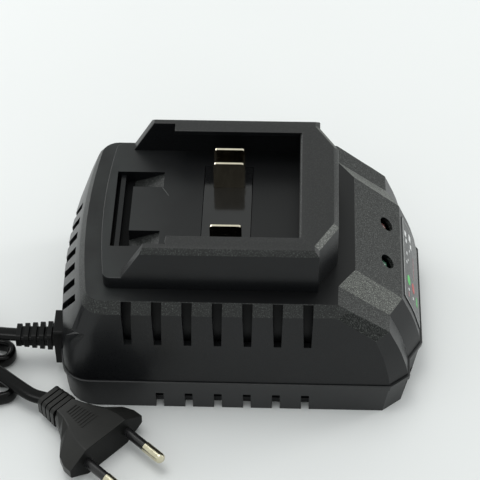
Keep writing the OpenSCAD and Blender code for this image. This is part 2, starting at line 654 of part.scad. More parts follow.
module light_leads() color("#a33b2e") for (i = [-1:1]) {
    y = i * light_lead_pitch;
    foot_x = light_lead_foot * board_l;
    tube([[light_lead_x - 0.3, y, light_lead_z - 0.3, 0], [light_lead_x - 3, y, light_lead_z - 5, 0],
        [foot_x, y, light_lead_z - 12, 0], [foot_x, y, board_top, 0]],
        light_lead_d, light_lead_d, 8, [0, 1, 0]);
}

module relief_rib(i) let (share = i / (relief_ribs - 1))
    translate([relief_x - rib_first - i * relief_pitch, 0, rib_rise])
        bar_x(0, i == relief_ribs - 1 ? last_rib_l : rib_l, rib_w - 0.8 * share, rib_h - 2.4 * share, 1.6);
module strain_relief() color("#1a1b1c") lead_place(relief_z) difference() {
    union() {
        bar_x(relief_x + relief_inner_l, relief_inner_l, relief_w, relief_h, relief_corner_r);
        bar_x(relief_x + eps, relief_x - relief_end_x + eps, lead_w + 1.4, lead_t + 1.6, 1.2);
        for (i = [0:relief_ribs - 1]) relief_rib(i);
    }
    difference() {
        box(relief_groove_x, relief_groove_x + clamp_t + 2 * fit, -relief_w, relief_w, -relief_h, relief_h);
        relief_core(0);
    }
}

module power_lead_start() color("#17181a") lead_place() tube(lead_start, lead_w, lead_t);
module power_lead_end() color("#17181a") lead_place() tube(lead_end, lead_w, lead_t);
module power_lead_hank() color("#17181a") lead_place() {
    for (x = [0, -hank_run]) translate([hank_x + x, hank_y, hank_z]) cylinder(r = hank_r, h = hank_h);
    box(hank_x - hank_run, hank_x, hank_y - hank_r, hank_y + hank_r, hank_z, hank_z + hank_h);
}
module lead_tie() color("#0f1011") lead_place()
    translate([hank_x - hank_run / 2, hank_y, hank_z + hank_h / 2]) difference() {
        cube([tie_w, hank_w + 2 * tie_t, hank_h + 2 * tie_t], center = true);
        cube([tie_w + 1, hank_w + fit, hank_h + fit], center = true);
    }

module plug_place() lead_place() translate(plug_at) rotate([0, 0, plug_turn]) children();
module plug_body() color("#3b3c39") plug_place() difference() {
    union() {
        skin([for (s = plug_stations) plug_ring(s)]);
        bar_x(-22 + eps, collar_l, 7.6, 6.4, 1.5);
        for (i = [0:3]) bar_x(-22 - 0.6 - i * 2.35, 1.7, 10.8 - 0.2 * i, 9.4 - 0.4 * i, 1.8);
    }
    pin_places(-pin_root) cylinder(r = pin_core_r + pin_fit, h = pin_root + 1);
}
module pin_places(x) for (y = [-1, 1]) translate([x, y * pin_pitch / 2, 0]) rotate([0, 90, 0]) children();
module plug_pins() color("#d9d4b8") plug_place() {
    pin_places(1 - pin_root) cylinder(r = pin_core_r, h = pin_root + sleeve_l);
    pin_places(sleeve_l) cylinder(d = pin_d, h = pin_l - sleeve_l - pin_d / 2);
    pin_places(pin_l - pin_d / 2) sphere(d = pin_d);
}
module plug_sleeves() color("#161718") plug_place() pin_places(0) difference() {
    cylinder(d = sleeve_d, h = sleeve_l);
    translate([0, 0, -1]) cylinder(r = pin_core_r + pin_fit, h = sleeve_l + 2);
}

// ---- inside: round and box-shaped parts of the usual sizes, placed by shares of the board's length
module main_board() color("#2f6b45") difference() {
    translate([0, 0, board_z + board_t / 2]) cube([board_l, board_w, board_t], center = true);
    for (p = board_screw_places) translate([p.x, p.y, board_z - 1])
        cylinder(r = board_screw_r + 0.15, h = board_t + 2);
}
module board_screws() color("#9b9da0") {
    for (p = board_screw_places) translate([p.x, p.y, board_top + board_head_h]) mirror([0, 0, 1])
        screw(board_head_r, board_head_h, board_screw_r, board_screw_l);
    for (y = [-1, 1]) on_slope(light_down, y * peg_y, -light_board_deep - board_t - peg_head_h)
        screw(peg_head_r, peg_head_h, peg_screw_r, peg_screw_l);
}
wire_d = 2;
mains_foot = [6.5, 8];          // mains leads' feet, from the board's left edge and from the strain relief
module mains_leads() for (y = [-1, 1]) color(y > 0 ? "#2d4f8a" : "#6b4a2f") lead_place() {
    foot_x = half_l - board_l / 2 + mains_foot[0];
    start_x = relief_x + relief_inner_l;
    tube([[start_x, 1.6 * y, relief_z, 0], [start_x + 3.5, 1.8 * y, relief_z, 0],
        [foot_x - 4.5, 3 + 2.2 * y, board_top + 4, 0], [foot_x - 1.5, 7 + 2.5 * y, board_top + 2, 0],
        [foot_x, mains_foot[1] + 2.5 * y, board_top, 0]], wire_d, wire_d, 8, [0, 1, 0.2]);
}
output_foot = 0.31;
output_foot_ys = [24, 12, -23];
module output_leads() color("#a8342c") {
    tail_z = block_foot - tail_deep;
    foot_x = output_foot * board_l;
    for (i = [0:2]) let (y0 = blade_ys[i], y1 = output_foot_ys[i])
        tube([[blade_x, y0, tail_z, 0], [blade_x + 1.5, y0, tail_z - 3, 0],
            [(blade_x + foot_x) / 2, (y0 + y1) / 2, tail_z - 7, 0], [foot_x - 3.5, y1, board_top + 23.4, 0],
            [foot_x, y1, board_top + 17.4, 0], [foot_x, y1, board_top, 0]], wire_d, wire_d, 8, [0, 1, 0]);
}
// place on the board, x as a share of its length
module on_board(share, y, rise = 0) translate([share * board_l, y, board_top + rise]) children();
module standing(size) translate([-size.x / 2, -size.y / 2, 0]) cube(size);
fuse_d = 4.6;
fuse_l = 13;
fuse_cap = [5.2, 5];            // diameter and length of a cap
module fuse() color("#d8d8d0") on_board(-0.398, 17) {
    translate([0, 0, fuse_cap[0] / 2 + 0.4]) rotate([90, 0, 0]) {
        cylinder(d = fuse_d, h = fuse_l, center = true);
        for (z = [-1, 1]) translate([0, 0, z * (fuse_l + 3) / 2])
            cylinder(d = fuse_cap[0], h = fuse_cap[1], center = true);
    }
    for (y = [-1, 1]) translate([0, y * (fuse_l + 3) / 2, 0]) standing([3, 3, 1.6]);
}
varistor_size = [10, 4];        // diameter and thickness of the disc
safety_size = [8, 3.4];
module disc(size) translate([0, 0, size[0] / 2 + fit]) rotate([90, 0, 0])
    cylinder(d = size[0], h = size[1], center = true);
module varistor() color("#2d57a5") on_board(-0.417, 0) disc(varistor_size);
module safety_capacitor() color("#3b78b8") on_board(0.148, -19) disc(safety_size);
filter_capacitor_size = [17, 8, 14];
module filter_capacitor() color("#c9b04a") on_board(-0.306, -17) standing(filter_capacitor_size);
choke_size = [16, 18, 16];
choke_window_d = 7;
module filter_choke() color("#8a5a2b") on_board(-0.278, 12) difference() {
    standing(choke_size);
    translate([0, 0, choke_size.z / 2]) rotate([90, 0, 0])
        cylinder(d = choke_window_d, h = choke_size.y + 2, center = true);
}
bridge_size = [20, 3.6, 14];
module bridge_rectifier() color("#202122") on_board(-0.074, -24) standing(bridge_size);
bulk_size = [18, 30];           // diameter and height of a can
output_can = [8, 16];
output_can_y = 15.5;
module bulk_capacitor() color("#23304a") on_board(-0.093, 9) cylinder(d = bulk_size[0], h = bulk_size[1]);
module output_capacitors() color("#27335a") for (y = [-1, 1]) on_board(0.389, y * output_can_y)
    cylinder(d = output_can[0], h = output_can[1]);
switch_sink_size = [24, 6, 26];
switch_sink_y = 24;
switch_size = [10, 4.6, 16];
fin_pitch = 4;
fin_gap = 2.2;
module switch_heat_sink() color("#b4b7ba") on_board(0.074, switch_sink_y) difference() {
    standing(switch_sink_size);
    for (i = [-2:2]) translate([i * fin_pitch, 2, -1])
        standing([fin_gap, switch_sink_size.y - 1, switch_sink_size.z + 2]);
}
module switch_transistor() color("#1c1d1e")
    on_board(0.074, switch_sink_y - (switch_sink_size.y + switch_size.y) / 2)
        translate([0, 0, 2]) standing(switch_size);
core_share = 0.148;
core_y = -3;
core_size = [26, 10, 22];
core_foot = 2;
core_window = [6, 14];
leg_x = 7.6;
module transformer_core() color("#3a3b3d") on_board(core_share, core_y, core_foot) difference() {
    standing(core_size);
    for (x = [-1, 1]) translate([x * leg_x, 0, (core_size.z - core_window[1]) / 2])
        standing([core_window[0], core_size.y + 1, core_window[1]]);
}
centre_leg = 2 * leg_x - core_window[0];
winding_size = [20, 19.5, 10.6];
flange_size = [20.6, 21, 1.2];
winding_z = core_foot + (core_size.z - winding_size.z) / 2;
sleeve_t = 0.6;
pin_rail = [core_size.x - 2, 4, 3.6];
module transformer_bobbin() color("#e3dfd0") on_board(core_share, core_y) difference() {
    union() {
        for (y = [-1, 1]) translate([0, y * (core_size.y / 2 + pin_rail.y), 0]) standing(pin_rail);
        for (z = [winding_z - flange_size.z - fit, winding_z + winding_size.z + fit])
            translate([0, 0, z]) standing(flange_size);
        translate([0, 0, winding_z - flange_size.z]) standing([centre_leg + 2 * sleeve_t,
            core_size.y + 2 * sleeve_t + 0.2, winding_size.z + 2 * flange_size.z]);
        for (y = [-1, 1]) translate([0, y * (core_size.y / 2 + 3.5), pin_rail.z - 0.3])
            standing([12, 2, winding_z - flange_size.z - pin_rail.z + 0.4]);
    }
    translate([0, 0, -1]) standing([centre_leg + fit, core_size.y + 2 * fit, core_size.z + 6]);
    for (x = [-1, 1]) translate([x * (core_size.x + 2 * leg_x + core_window[0]) / 4, 0, -1])
        standing([(core_size.x - 2 * leg_x - core_window[0]) / 2 + 2 * fit, core_size.y + 2 * fit,
            core_size.z + 6]);
}
module transformer_winding() color("#caa23a") on_board(core_share, core_y, winding_z) difference() {
    standing(winding_size);
    translate([0, 0, -1])
        standing([centre_leg + 2 * sleeve_t + fit, core_size.y + 2 * sleeve_t + 0.4, winding_size.z + 2]);
}
diode_sink_share = 0.435;
diode_sink_size = [2, 22, 20];
diode_size = [4.6, 10, 15];
module diode_heat_sink() color("#b4b7ba") on_board(diode_sink_share, 0) standing(diode_sink_size);
module output_diode() color("#1c1d1e") on_board(diode_sink_share, 0)
    translate([-(diode_sink_size.x + diode_size.x) / 2 - fit, 0, 1.5]) standing(diode_size);
optocoupler_size = [4.6, 6.4, 3.6];
chip_size = [9.6, 6.4, 3.6];
module optocoupler() color("#1e1f20") on_board(0.28, -17) standing(optocoupler_size);
module control_chip() color("#1e1f20") on_board(-0.259, -4) standing(chip_size);

lower_shell();
upper_shell();
housing_screws();
rating_plate();
front_label();
terminal_block();
contact_blade_a();
contact_blade_b();
contact_blade_c();
red_light();
green_light();
light_board();
light_leads();
strain_relief();
power_lead_start();
power_lead_hank();
lead_tie();
power_lead_end();
plug_body();
plug_pins();
plug_sleeves();
mains_leads();
output_leads();
main_board();
board_screws();
fuse();
varistor();
filter_capacitor();
filter_choke();
bridge_rectifier();
bulk_capacitor();
switch_heat_sink();
switch_transistor();
transformer_core();
transformer_bobbin();
transformer_winding();
diode_heat_sink();
output_diode();
output_capacitors();
optocoupler();
control_chip();
safety_capacitor();
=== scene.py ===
import math

import bmesh
import bpy
from mathutils import Matrix, Vector
from mathutils.bvhtree import BVHTree


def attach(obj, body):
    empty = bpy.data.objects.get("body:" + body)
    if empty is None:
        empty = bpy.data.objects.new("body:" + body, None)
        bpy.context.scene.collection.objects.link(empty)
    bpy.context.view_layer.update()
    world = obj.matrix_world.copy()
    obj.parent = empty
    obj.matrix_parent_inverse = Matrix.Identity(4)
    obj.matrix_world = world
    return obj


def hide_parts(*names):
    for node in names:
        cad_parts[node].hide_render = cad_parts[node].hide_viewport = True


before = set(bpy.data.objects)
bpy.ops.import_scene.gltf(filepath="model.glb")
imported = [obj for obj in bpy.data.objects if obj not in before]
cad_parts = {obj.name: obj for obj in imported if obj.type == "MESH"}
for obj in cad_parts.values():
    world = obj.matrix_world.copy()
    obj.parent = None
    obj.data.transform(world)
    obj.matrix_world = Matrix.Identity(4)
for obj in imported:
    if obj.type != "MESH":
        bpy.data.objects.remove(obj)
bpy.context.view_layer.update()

MM = 0.001


# ---------------------------------------------------------------- camera

AIM, DISTANCE = Vector((-0.9, 11.96, 30)), 684             # in millimetres
DOWN, TURN, ROLL = (math.radians(degrees) for degrees in (46.197, -2.518, -0.811))
SENSOR_WIDTH, FOCAL_LENGTH = 36, 135.62
NEAREST, FURTHEST = 0.05, 20                               # what it can see, in metres


def place_camera():
    """High in front of the charger, a little to the left of straight on."""
    look = Vector((math.sin(TURN) * math.cos(DOWN), math.cos(TURN) * math.cos(DOWN), -math.sin(DOWN)))
    right = Vector((math.cos(TURN), -math.sin(TURN), 0))
    up = right.cross(look)
    rolled_right = math.cos(ROLL) * right + math.sin(ROLL) * up
    rolled_up = -math.sin(ROLL) * right + math.cos(ROLL) * up
    data = bpy.data.cameras.new("camera")
    data.sensor_width = SENSOR_WIDTH
    data.lens = FOCAL_LENGTH
    data.clip_start, data.clip_end = NEAREST, FURTHEST
    camera = bpy.data.objects.new("camera", data)
    bpy.context.scene.collection.objects.link(camera)
    pose = Matrix((rolled_right, rolled_up, -look)).transposed().to_4x4()
    pose.translation = AIM * MM - look * DISTANCE * MM
    camera.matrix_world = pose
    bpy.context.scene.camera = camera


place_camera()


# ---------------------------------------------------------------- material building blocks

NOISE_LOW, NOISE_HIGH = 0.3, 0.7                           # most of a noise lies between these
BAND_SPACING = 0.314                                       # of a wave texture whose scale is 1
TRACK_CELLS = 140                                          # along a metre of the boards


def blank(name):
    """A new material with an empty principled shader, its node tree and that shader."""
    material = bpy.data.materials.new(name)
    material.use_nodes = True
    tree = material.node_tree
    tree.nodes.clear()
    output = tree.nodes.new("ShaderNodeOutputMaterial")
    shader = tree.nodes.new("ShaderNodeBsdfPrincipled")
    tree.links.new(shader.outputs["BSDF"], output.inputs["Surface"])
    return material, tree, shader


def place_on_piece(tree, stretch=(1, 1, 1)):
    """Object coordinates in metres, stretched along the axes."""
    where = tree.nodes.new("ShaderNodeTexCoord")
    mapping = tree.nodes.new("ShaderNodeMapping")
    mapping.inputs["Scale"].default_value = stretch
    tree.links.new(where.outputs["Object"], mapping.inputs["Vector"])
    return mapping.outputs["Vector"]


def noise(tree, where, size_mm, detail=2.0, rough=0.5):
    """Noise whose blotches are about size_mm across."""
    node = tree.nodes.new("ShaderNodeTexNoise")
    node.inputs["Scale"].default_value = 1 / (size_mm * MM)
    node.inputs["Detail"].default_value = detail
    node.inputs["Roughness"].default_value = rough
    tree.links.new(where, node.inputs["Vector"])
    return node.outputs["Fac"]


def ramp(tree, value, stops):
    """Colours at the values given by stops, and blends between them."""
    node = tree.nodes.new("ShaderNodeValToRGB")
    marks = node.color_ramp.elements
    marks[0].position, marks[0].color = stops[0][0], (*stops[0][1], 1)
    marks[1].position, marks[1].color = stops[-1][0], (*stops[-1][1], 1)
    for position, colour in stops[1:-1]:
        mark = marks.new(position)
        mark.color = (*colour, 1)
    tree.links.new(value, node.inputs["Fac"])
    return node.outputs["Color"]


def drifting(tree, value, dark, light):
    """A colour that goes from dark to light over the middle of a noise."""
    return ramp(tree, value, [(NOISE_LOW, dark), (NOISE_HIGH, light)])


def spread(tree, value, low, high):
    """A number that goes from low to high over the middle of a noise."""
    node = tree.nodes.new("ShaderNodeMapRange")
    node.inputs["From Min"].default_value = NOISE_LOW
    node.inputs["From Max"].default_value = NOISE_HIGH
    node.inputs["To Min"].default_value = low
    node.inputs["To Max"].default_value = high
    tree.links.new(value, node.inputs["Value"])
    return node.outputs["Result"]


def bump(tree, shader, height, depth_mm, strength=1.0):
    """Raises the shader's surface by up to depth_mm where height is 1."""
    node = tree.nodes.new("ShaderNodeBump")
    node.inputs["Distance"].default_value = depth_mm * MM
    node.inputs["Strength"].default_value = strength
    tree.links.new(height, node.inputs["Height"])
    tree.links.new(node.outputs["Normal"], shader.inputs["Normal"])


def moulded(name, dark, light, rough, grain_mm, depth_mm, gloss=0.5, blotch_mm=12.0):
    """Moulded plastic: colour that drifts slowly, a fine grain, and roughness that follows it."""
    material, tree, shader = blank(name)
    where = place_on_piece(tree)
    drift = noise(tree, where, blotch_mm, detail=3)
    grain = noise(tree, where, grain_mm, detail=2, rough=0.6)
    tree.links.new(drifting(tree, drift, dark, light), shader.inputs["Base Color"])
    tree.links.new(spread(tree, grain, rough - 0.05, rough + 0.05), shader.inputs["Roughness"])
    shader.inputs["Specular IOR Level"].default_value = gloss
    bump(tree, shader, grain, depth_mm)
    return material


def spark(name, valley, middle, painted_glint, rough, depth_mm, grain_mm=0.42, gloss=0.5):
    """A spark-eroded finish: a coarse grain whose tips are painted pale as glints."""
    material, tree, shader = blank(name)
    where = place_on_piece(tree)
    grain = noise(tree, where, grain_mm, detail=3, rough=0.7)
    speckle_and_painted_glint = ramp(tree, grain, [(0.36, valley), (0.52, middle), (0.66, painted_glint)])
    tree.links.new(speckle_and_painted_glint, shader.inputs["Base Color"])
    tree.links.new(spread(tree, grain, rough + 0.06, rough - 0.06), shader.inputs["Roughness"])
    shader.inputs["Specular IOR Level"].default_value = gloss
    bump(tree, shader, grain, depth_mm, strength=0.8)
    return material


def plated(name, dark, light, rough, grain_mm, streak=(1, 1, 1), depth_mm=0.004):
    """Metal with drawn or rolled streaks."""
    material, tree, shader = blank(name)
    where = place_on_piece(tree, streak)
    streaks = noise(tree, where, grain_mm, detail=3, rough=0.6)
    tree.links.new(drifting(tree, streaks, dark, light), shader.inputs["Base Color"])
    tree.links.new(spread(tree, streaks, rough - 0.05, rough + 0.06), shader.inputs["Roughness"])
    shader.inputs["Metallic"].default_value = 1
    bump(tree, shader, streaks, depth_mm)
    return material


def winding(name, dark, light, pitch_mm):
    """Turns of wire or tape: bands across the winding."""
    material, tree, shader = blank(name)
    where = place_on_piece(tree)
    bands = tree.nodes.new("ShaderNodeTexWave")
    bands.bands_direction = "Z"
    bands.inputs["Scale"].default_value = BAND_SPACING / (pitch_mm * MM)
    bands.inputs["Distortion"].default_value = 0.6
    tree.links.new(where, bands.inputs["Vector"])
    wires = ramp(tree, bands.outputs["Fac"], [(0.1, dark), (0.8, light)])
    tree.links.new(wires, shader.inputs["Base Color"])
    grain = noise(tree, where, size_mm=0.6)
    tree.links.new(spread(tree, grain, 0.28, 0.4), shader.inputs["Roughness"])
    bump(tree, shader, bands.outputs["Fac"], depth_mm=0.08)
    return material


# ---------------------------------------------------------------- finishes of the casing

def casing_satin():
    return moulded("casing_satin", (0.0034, 0.0038, 0.0043), (0.0052, 0.0057, 0.0064),
                   rough=0.31, grain_mm=0.30, depth_mm=0.003, gloss=0.26, blotch_mm=25)


def deck_satin():
    """Satin with painted light and shade: a painted reflection makes it paler towards the open end where the
    battery pack slides on, and painted shade makes it darker towards the covered end between the bay's walls.
    """
    open_end, covered_end = -62, 18
    # painted reflection near the open end, painted shade towards the covered end
    painted_light_and_shade = [(0.05, (0.0050, 0.0056, 0.0060)), (0.16, (0.0140, 0.0162, 0.0160)),
                    (0.31, (0.0096, 0.0105, 0.0108)), (0.50, (0.0040, 0.0045, 0.0050)),
                    (0.95, (0.0018, 0.0021, 0.0025))]
    material, tree, shader = blank("deck_satin")
    where = place_on_piece(tree)
    sides = tree.nodes.new("ShaderNodeSeparateXYZ")
    tree.links.new(where, sides.inputs["Vector"])
    along = tree.nodes.new("ShaderNodeMapRange")
    along.inputs["From Min"].default_value = open_end * MM
    along.inputs["From Max"].default_value = covered_end * MM
    tree.links.new(sides.outputs["X"], along.inputs["Value"])
    patchy = tree.nodes.new("ShaderNodeMath")
    patchy.operation = "ADD"
    tree.links.new(along.outputs["Result"], patchy.inputs[0])
    drift = noise(tree, where, size_mm=14, detail=3)
    tree.links.new(spread(tree, drift, -0.06, 0.06), patchy.inputs[1])
    tree.links.new(ramp(tree, patchy.outputs[0], painted_light_and_shade), shader.inputs["Base Color"])
    grain = noise(tree, where, size_mm=0.30, detail=2, rough=0.6)
    tree.links.new(spread(tree, grain, 0.33, 0.43), shader.inputs["Roughness"])
    shader.inputs["Specular IOR Level"].default_value = 0.32
    bump(tree, shader, grain, depth_mm=0.0025)
    return material


def platform_fine():
    """The platform's top: a fine even grain, a little paler than the walls."""
    return spark("platform_fine", (0.0065, 0.007, 0.007), (0.0095, 0.010, 0.010), (0.022, 0.0225, 0.0215),
                 rough=0.44, depth_mm=0.010, grain_mm=0.38, gloss=0.39)


def recess_painted_shade():
    """The floor of the latch's recess: dull, and painted dark as the shade of the slot's opening."""
    return moulded("recess_painted_shade", (0.0014, 0.0016, 0.0018), (0.0022, 0.0024, 0.0026),
                   rough=0.55, grain_mm=0.30, depth_mm=0.003, gloss=0.08, blotch_mm=25)


def skirt_satin():
    return moulded("skirt_satin", (0.010, 0.0108, 0.0115), (0.014, 0.0148, 0.0155),
                   rough=0.44, grain_mm=0.30, depth_mm=0.006, gloss=0.45, blotch_mm=25)


def spark_soft():
    return spark("spark_soft", (0.0048, 0.0053, 0.0051), (0.0086, 0.0094, 0.0091), (0.056, 0.062, 0.058),
                 rough=0.46, depth_mm=0.022, gloss=0.34)


def spark_hood():
    return spark("spark_hood", (0.0048, 0.0052, 0.005), (0.0105, 0.0115, 0.0108), (0.090, 0.098, 0.090),
                 rough=0.50, depth_mm=0.03, gloss=0.30)


# The spark finish made much paler: a painted highlight for the corner facets that catch the light.
def spark_painted_highlight():
    return spark("spark_painted_highlight", (0.0135, 0.0145, 0.013), (0.058, 0.062, 0.055), (0.235, 0.248, 0.218),
                 rough=0.5, depth_mm=0.05, grain_mm=0.38)


# The spark finish made darker: painted shade for the steep shoulder facets.
def spark_shoulder_painted_shade():
    return spark("spark_shoulder_painted_shade", (0.004, 0.0044, 0.0042), (0.010, 0.0110, 0.0105), (0.082, 0.090, 0.083),
                 rough=0.5, depth_mm=0.04, gloss=0.16)


# Black for the screens behind the vent slots: painted shade.
def vent_shade_black():
    return moulded("vent_shade_black", (0.0030, 0.0033, 0.0036), (0.0050, 0.0054, 0.0058),
                   rough=0.48, grain_mm=0.4, depth_mm=0.004, gloss=0.16)


def witness_pale():
    return moulded("witness_pale", (0.045, 0.048, 0.047), (0.070, 0.074, 0.072),
                   rough=0.4, grain_mm=0.3, depth_mm=0.003)


# ---------------------------------------------------------------- finishes of the other pieces

def terminal_gloss():
    return moulded("terminal_gloss", (0.006, 0.0063, 0.0066), (0.008, 0.0083, 0.0086),
                   rough=0.12, grain_mm=0.6, depth_mm=0.0006)


def blade_nickel():
    return plated("blade_nickel", (0.66, 0.60, 0.47), (0.80, 0.74, 0.60),
                  rough=0.14, grain_mm=1.6, streak=(1, 1, 0.3), depth_mm=0.0008)


def blade_painted_reflection():
    """The blades' flat sides: the same plating, painted darker as the reflection of the dark walls round
    them.
    """
    return plated("blade_painted_reflection", (0.235, 0.205, 0.155), (0.33, 0.29, 0.225),
                  rough=0.20, grain_mm=1.6, streak=(1, 1, 0.3), depth_mm=0.0008)


def pin_nickel():
    return plated("pin_nickel", (0.56, 0.52, 0.38), (0.70, 0.66, 0.50),
                  rough=0.20, grain_mm=1.2, depth_mm=0.002)


def screw_zinc():
    return plated("screw_zinc", (0.36, 0.37, 0.39), (0.58, 0.59, 0.60), rough=0.32, grain_mm=0.6)


def lead_rubber():
    return moulded("lead_rubber", (0.0022, 0.0023, 0.0024), (0.0034, 0.0035, 0.0036),
                   rough=0.18, grain_mm=0.9, depth_mm=0.003, gloss=0.13, blotch_mm=8)


def relief_rubber():
    return moulded("relief_rubber", (0.0022, 0.0024, 0.0024), (0.0034, 0.0036, 0.0036),
                   rough=0.36, grain_mm=0.4, depth_mm=0.008, gloss=0.13, blotch_mm=8)


def plug_satin():
    return moulded("plug_satin", (0.0120, 0.0122, 0.0112), (0.0170, 0.0172, 0.0158),
                   rough=0.36, grain_mm=0.35, depth_mm=0.008, gloss=0.26, blotch_mm=10)


def plug_front_painted_shade():
    """The face that the pins stand on: a duller finish than the grip, and painted darker as shade."""
    return moulded("plug_front_painted_shade", (0.0040, 0.0042, 0.0040), (0.0058, 0.0060, 0.0057),
                   rough=0.50, grain_mm=0.35, depth_mm=0.006, gloss=0.12, blotch_mm=10)


def sleeve_gloss():
    return moulded("sleeve_gloss", (0.008, 0.008, 0.0085), (0.011, 0.011, 0.0115),
                   rough=0.28, grain_mm=0.5, depth_mm=0.002)


def tie_gloss():
    return moulded("tie_gloss", (0.009, 0.009, 0.0095), (0.013, 0.013, 0.0135),
                   rough=0.35, grain_mm=0.5, depth_mm=0.01)


def label_film():
    return moulded("label_film", (0.011, 0.012, 0.013), (0.015, 0.016, 0.017),
                   rough=0.30, grain_mm=1.2, depth_mm=0.002, gloss=0.45, blotch_mm=6)


def print_ink(name, dark, light):
    return moulded(name, dark, light, rough=0.45, grain_mm=0.3, depth_mm=0.002, gloss=0.4, blotch_mm=1.5)


def plate_film():
    return moulded("plate_film", (0.42, 0.43, 0.43), (0.52, 0.53, 0.53),
                   rough=0.38, grain_mm=0.5, depth_mm=0.003)


def lamp_lens(name, dark, light):
    """Clear tinted resin of a small lamp."""
    material, tree, shader = blank(name)
    drift = noise(tree, place_on_piece(tree), size_mm=2)
    tree.links.new(drifting(tree, drift, dark, light), shader.inputs["Base Color"])
    tree.links.new(spread(tree, drift, 0.06, 0.14), shader.inputs["Roughness"])
    shader.inputs["Transmission Weight"].default_value = 0.55
    shader.inputs["IOR"].default_value = 1.5
    return material


def red_lens():
    return lamp_lens("red_lens", (0.15, 0.05, 0.046), (0.26, 0.12, 0.11))


def green_lens():
    return lamp_lens("green_lens", (0.03, 0.13, 0.07), (0.09, 0.26, 0.16))


def fuse_glass():
    material, tree, shader = blank("fuse_glass")
    drift = noise(tree, place_on_piece(tree), size_mm=3)
    tree.links.new(drifting(tree, drift, (0.62, 0.63, 0.62), (0.8, 0.81, 0.8)), shader.inputs["Base Color"])
    tree.links.new(spread(tree, drift, 0.08, 0.2), shader.inputs["Roughness"])
    shader.inputs["Transmission Weight"].default_value = 0.3
    return material


def board_mask():
    """Solder mask with paler tracks under it."""
    material, tree, shader = blank("board_mask")
    where = place_on_piece(tree)
    tracks = tree.nodes.new("ShaderNodeTexVoronoi")
    tracks.feature = "DISTANCE_TO_EDGE"
    tracks.inputs["Scale"].default_value = TRACK_CELLS
    tree.links.new(where, tracks.inputs["Vector"])
    mask = ramp(tree, tracks.outputs["Distance"], [(0.06, (0.07, 0.22, 0.10)), (0.12, (0.02, 0.10, 0.045))])
    tree.links.new(mask, shader.inputs["Base Color"])
    grain = noise(tree, where, size_mm=0.8)
    tree.links.new(spread(tree, grain, 0.28, 0.4), shader.inputs["Roughness"])
    bump(tree, shader, tracks.outputs["Distance"], depth_mm=0.05)
    return material


def choke_wire():
    return winding("choke_wire", (0.20, 0.07, 0.02), (0.48, 0.22, 0.08), pitch_mm=0.9)


def winding_tape():
    return winding("winding_tape", (0.42, 0.28, 0.03), (0.62, 0.45, 0.08), pitch_mm=2.2)


def extruded_sink():
    return plated("extruded_sink", (0.48, 0.49, 0.5), (0.66, 0.67, 0.68),
                  rough=0.36, grain_mm=0.7, streak=(3, 3, 0.3))


def sheet_sink():
    return plated("sheet_sink", (0.48, 0.49, 0.5), (0.64, 0.65, 0.66),
                  rough=0.4, grain_mm=0.8, streak=(3, 3, 0.3))


# ---------------------------------------------------------------- modelling helpers

SAME_PLACE, FLAT_WITHIN = 0.003, math.radians(0.4)         # merge a node's triangles into whole faces
SHORTEST_BEVELLED, BEVEL_SEGMENTS = 0.3, 2
OVERSHOOT = 0.6                                            # how far, in bevel widths, it may move a vertex
TO_NEAR_SIDE = (math.radians(90), 0, 0)                    # these turn a flat outline to face that way
TO_NOSE = (math.radians(90), 0, math.radians(90))


def only(piece):
    """Deselects all and makes piece the active one."""
    if bpy.context.object and bpy.context.object.mode != "OBJECT":
        bpy.ops.object.mode_set(mode="OBJECT")
    bpy.ops.object.select_all(action="DESELECT")
    piece.select_set(True)
    bpy.context.view_layer.objects.active = piece


def edit(piece):
    """Opens a piece in edit mode with all of it selected."""
    only(piece)
    bpy.ops.object.mode_set(mode="EDIT")
    bpy.ops.mesh.select_all(action="SELECT")


def close_edit():
    bpy.ops.object.mode_set(mode="OBJECT")


def pick(piece, chosen):
    """Opens a piece in edit mode with those corners selected that are chosen by place, in millimetres."""
    only(piece)
    wanted = [chosen(vertex.co / MM) for vertex in piece.data.vertices]
    for vertex in piece.data.vertices:
        vertex.select = wanted[vertex.index]
    for part in (*piece.data.edges, *piece.data.polygons):
        part.select = all(wanted[i] for i in part.vertices)
    bpy.ops.object.mode_set(mode="EDIT")


def face_outwards(piece):
    """Points all faces of a closed piece outwards."""
    edit(piece)
    bpy.ops.mesh.normals_make_consistent(inside=False)
    close_edit()


def started(primitive, **settings):
    """A new primitive of Blender's, with all else deselected."""
    bpy.ops.object.select_all(action="DESELECT")
    primitive(**settings)
    return bpy.context.object


def settle(piece, place=(0, 0, 0), turn=(0, 0, 0), scale=(1, 1, 1)):
    """Gives a piece its scale, turn and place in millimetres, and applies them to its mesh."""
    only(piece)
    piece.location, piece.rotation_euler, piece.scale = Vector(place) * MM, turn, scale
    bpy.ops.object.transform_apply(location=True, rotation=True, scale=True)


def low_bar(place, turn, foot, top, sunk, rise):
    """A bar with sloped flanks from sunk below place to rise above it: length and width of foot and top."""
    bar = started(bpy.ops.mesh.primitive_cube_add, size=MM)
    settle(bar, (0, 0, (rise - sunk) / 2), scale=(*foot, sunk + rise))
    pick(bar, lambda corner: corner.z > 0)
    bpy.ops.transform.resize(value=(top[0] / foot[0], top[1] / foot[1], 1), center_override=(0, 0, 0))
    close_edit()
    settle(bar, place, (0, 0, turn))
    return bar


def apply_all(piece):
    only(piece)
    for modifier in list(piece.modifiers):
        bpy.ops.object.modifier_apply(modifier=modifier.name)


def copy_of(node, name):
    """A piece with a node's mesh, its loose triangles merged and its flat faces made whole."""
    piece = bpy.data.objects.new(name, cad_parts[node].data.copy())
    bpy.context.scene.collection.objects.link(piece)
    only(piece)
    bpy.ops.mesh.customdata_custom_splitnormals_clear()
    edit(piece)
    bpy.ops.mesh.remove_doubles(threshold=SAME_PLACE * MM)
    bpy.ops.mesh.dissolve_limited(angle_limit=FLAT_WITHIN)
    close_edit()
    return piece


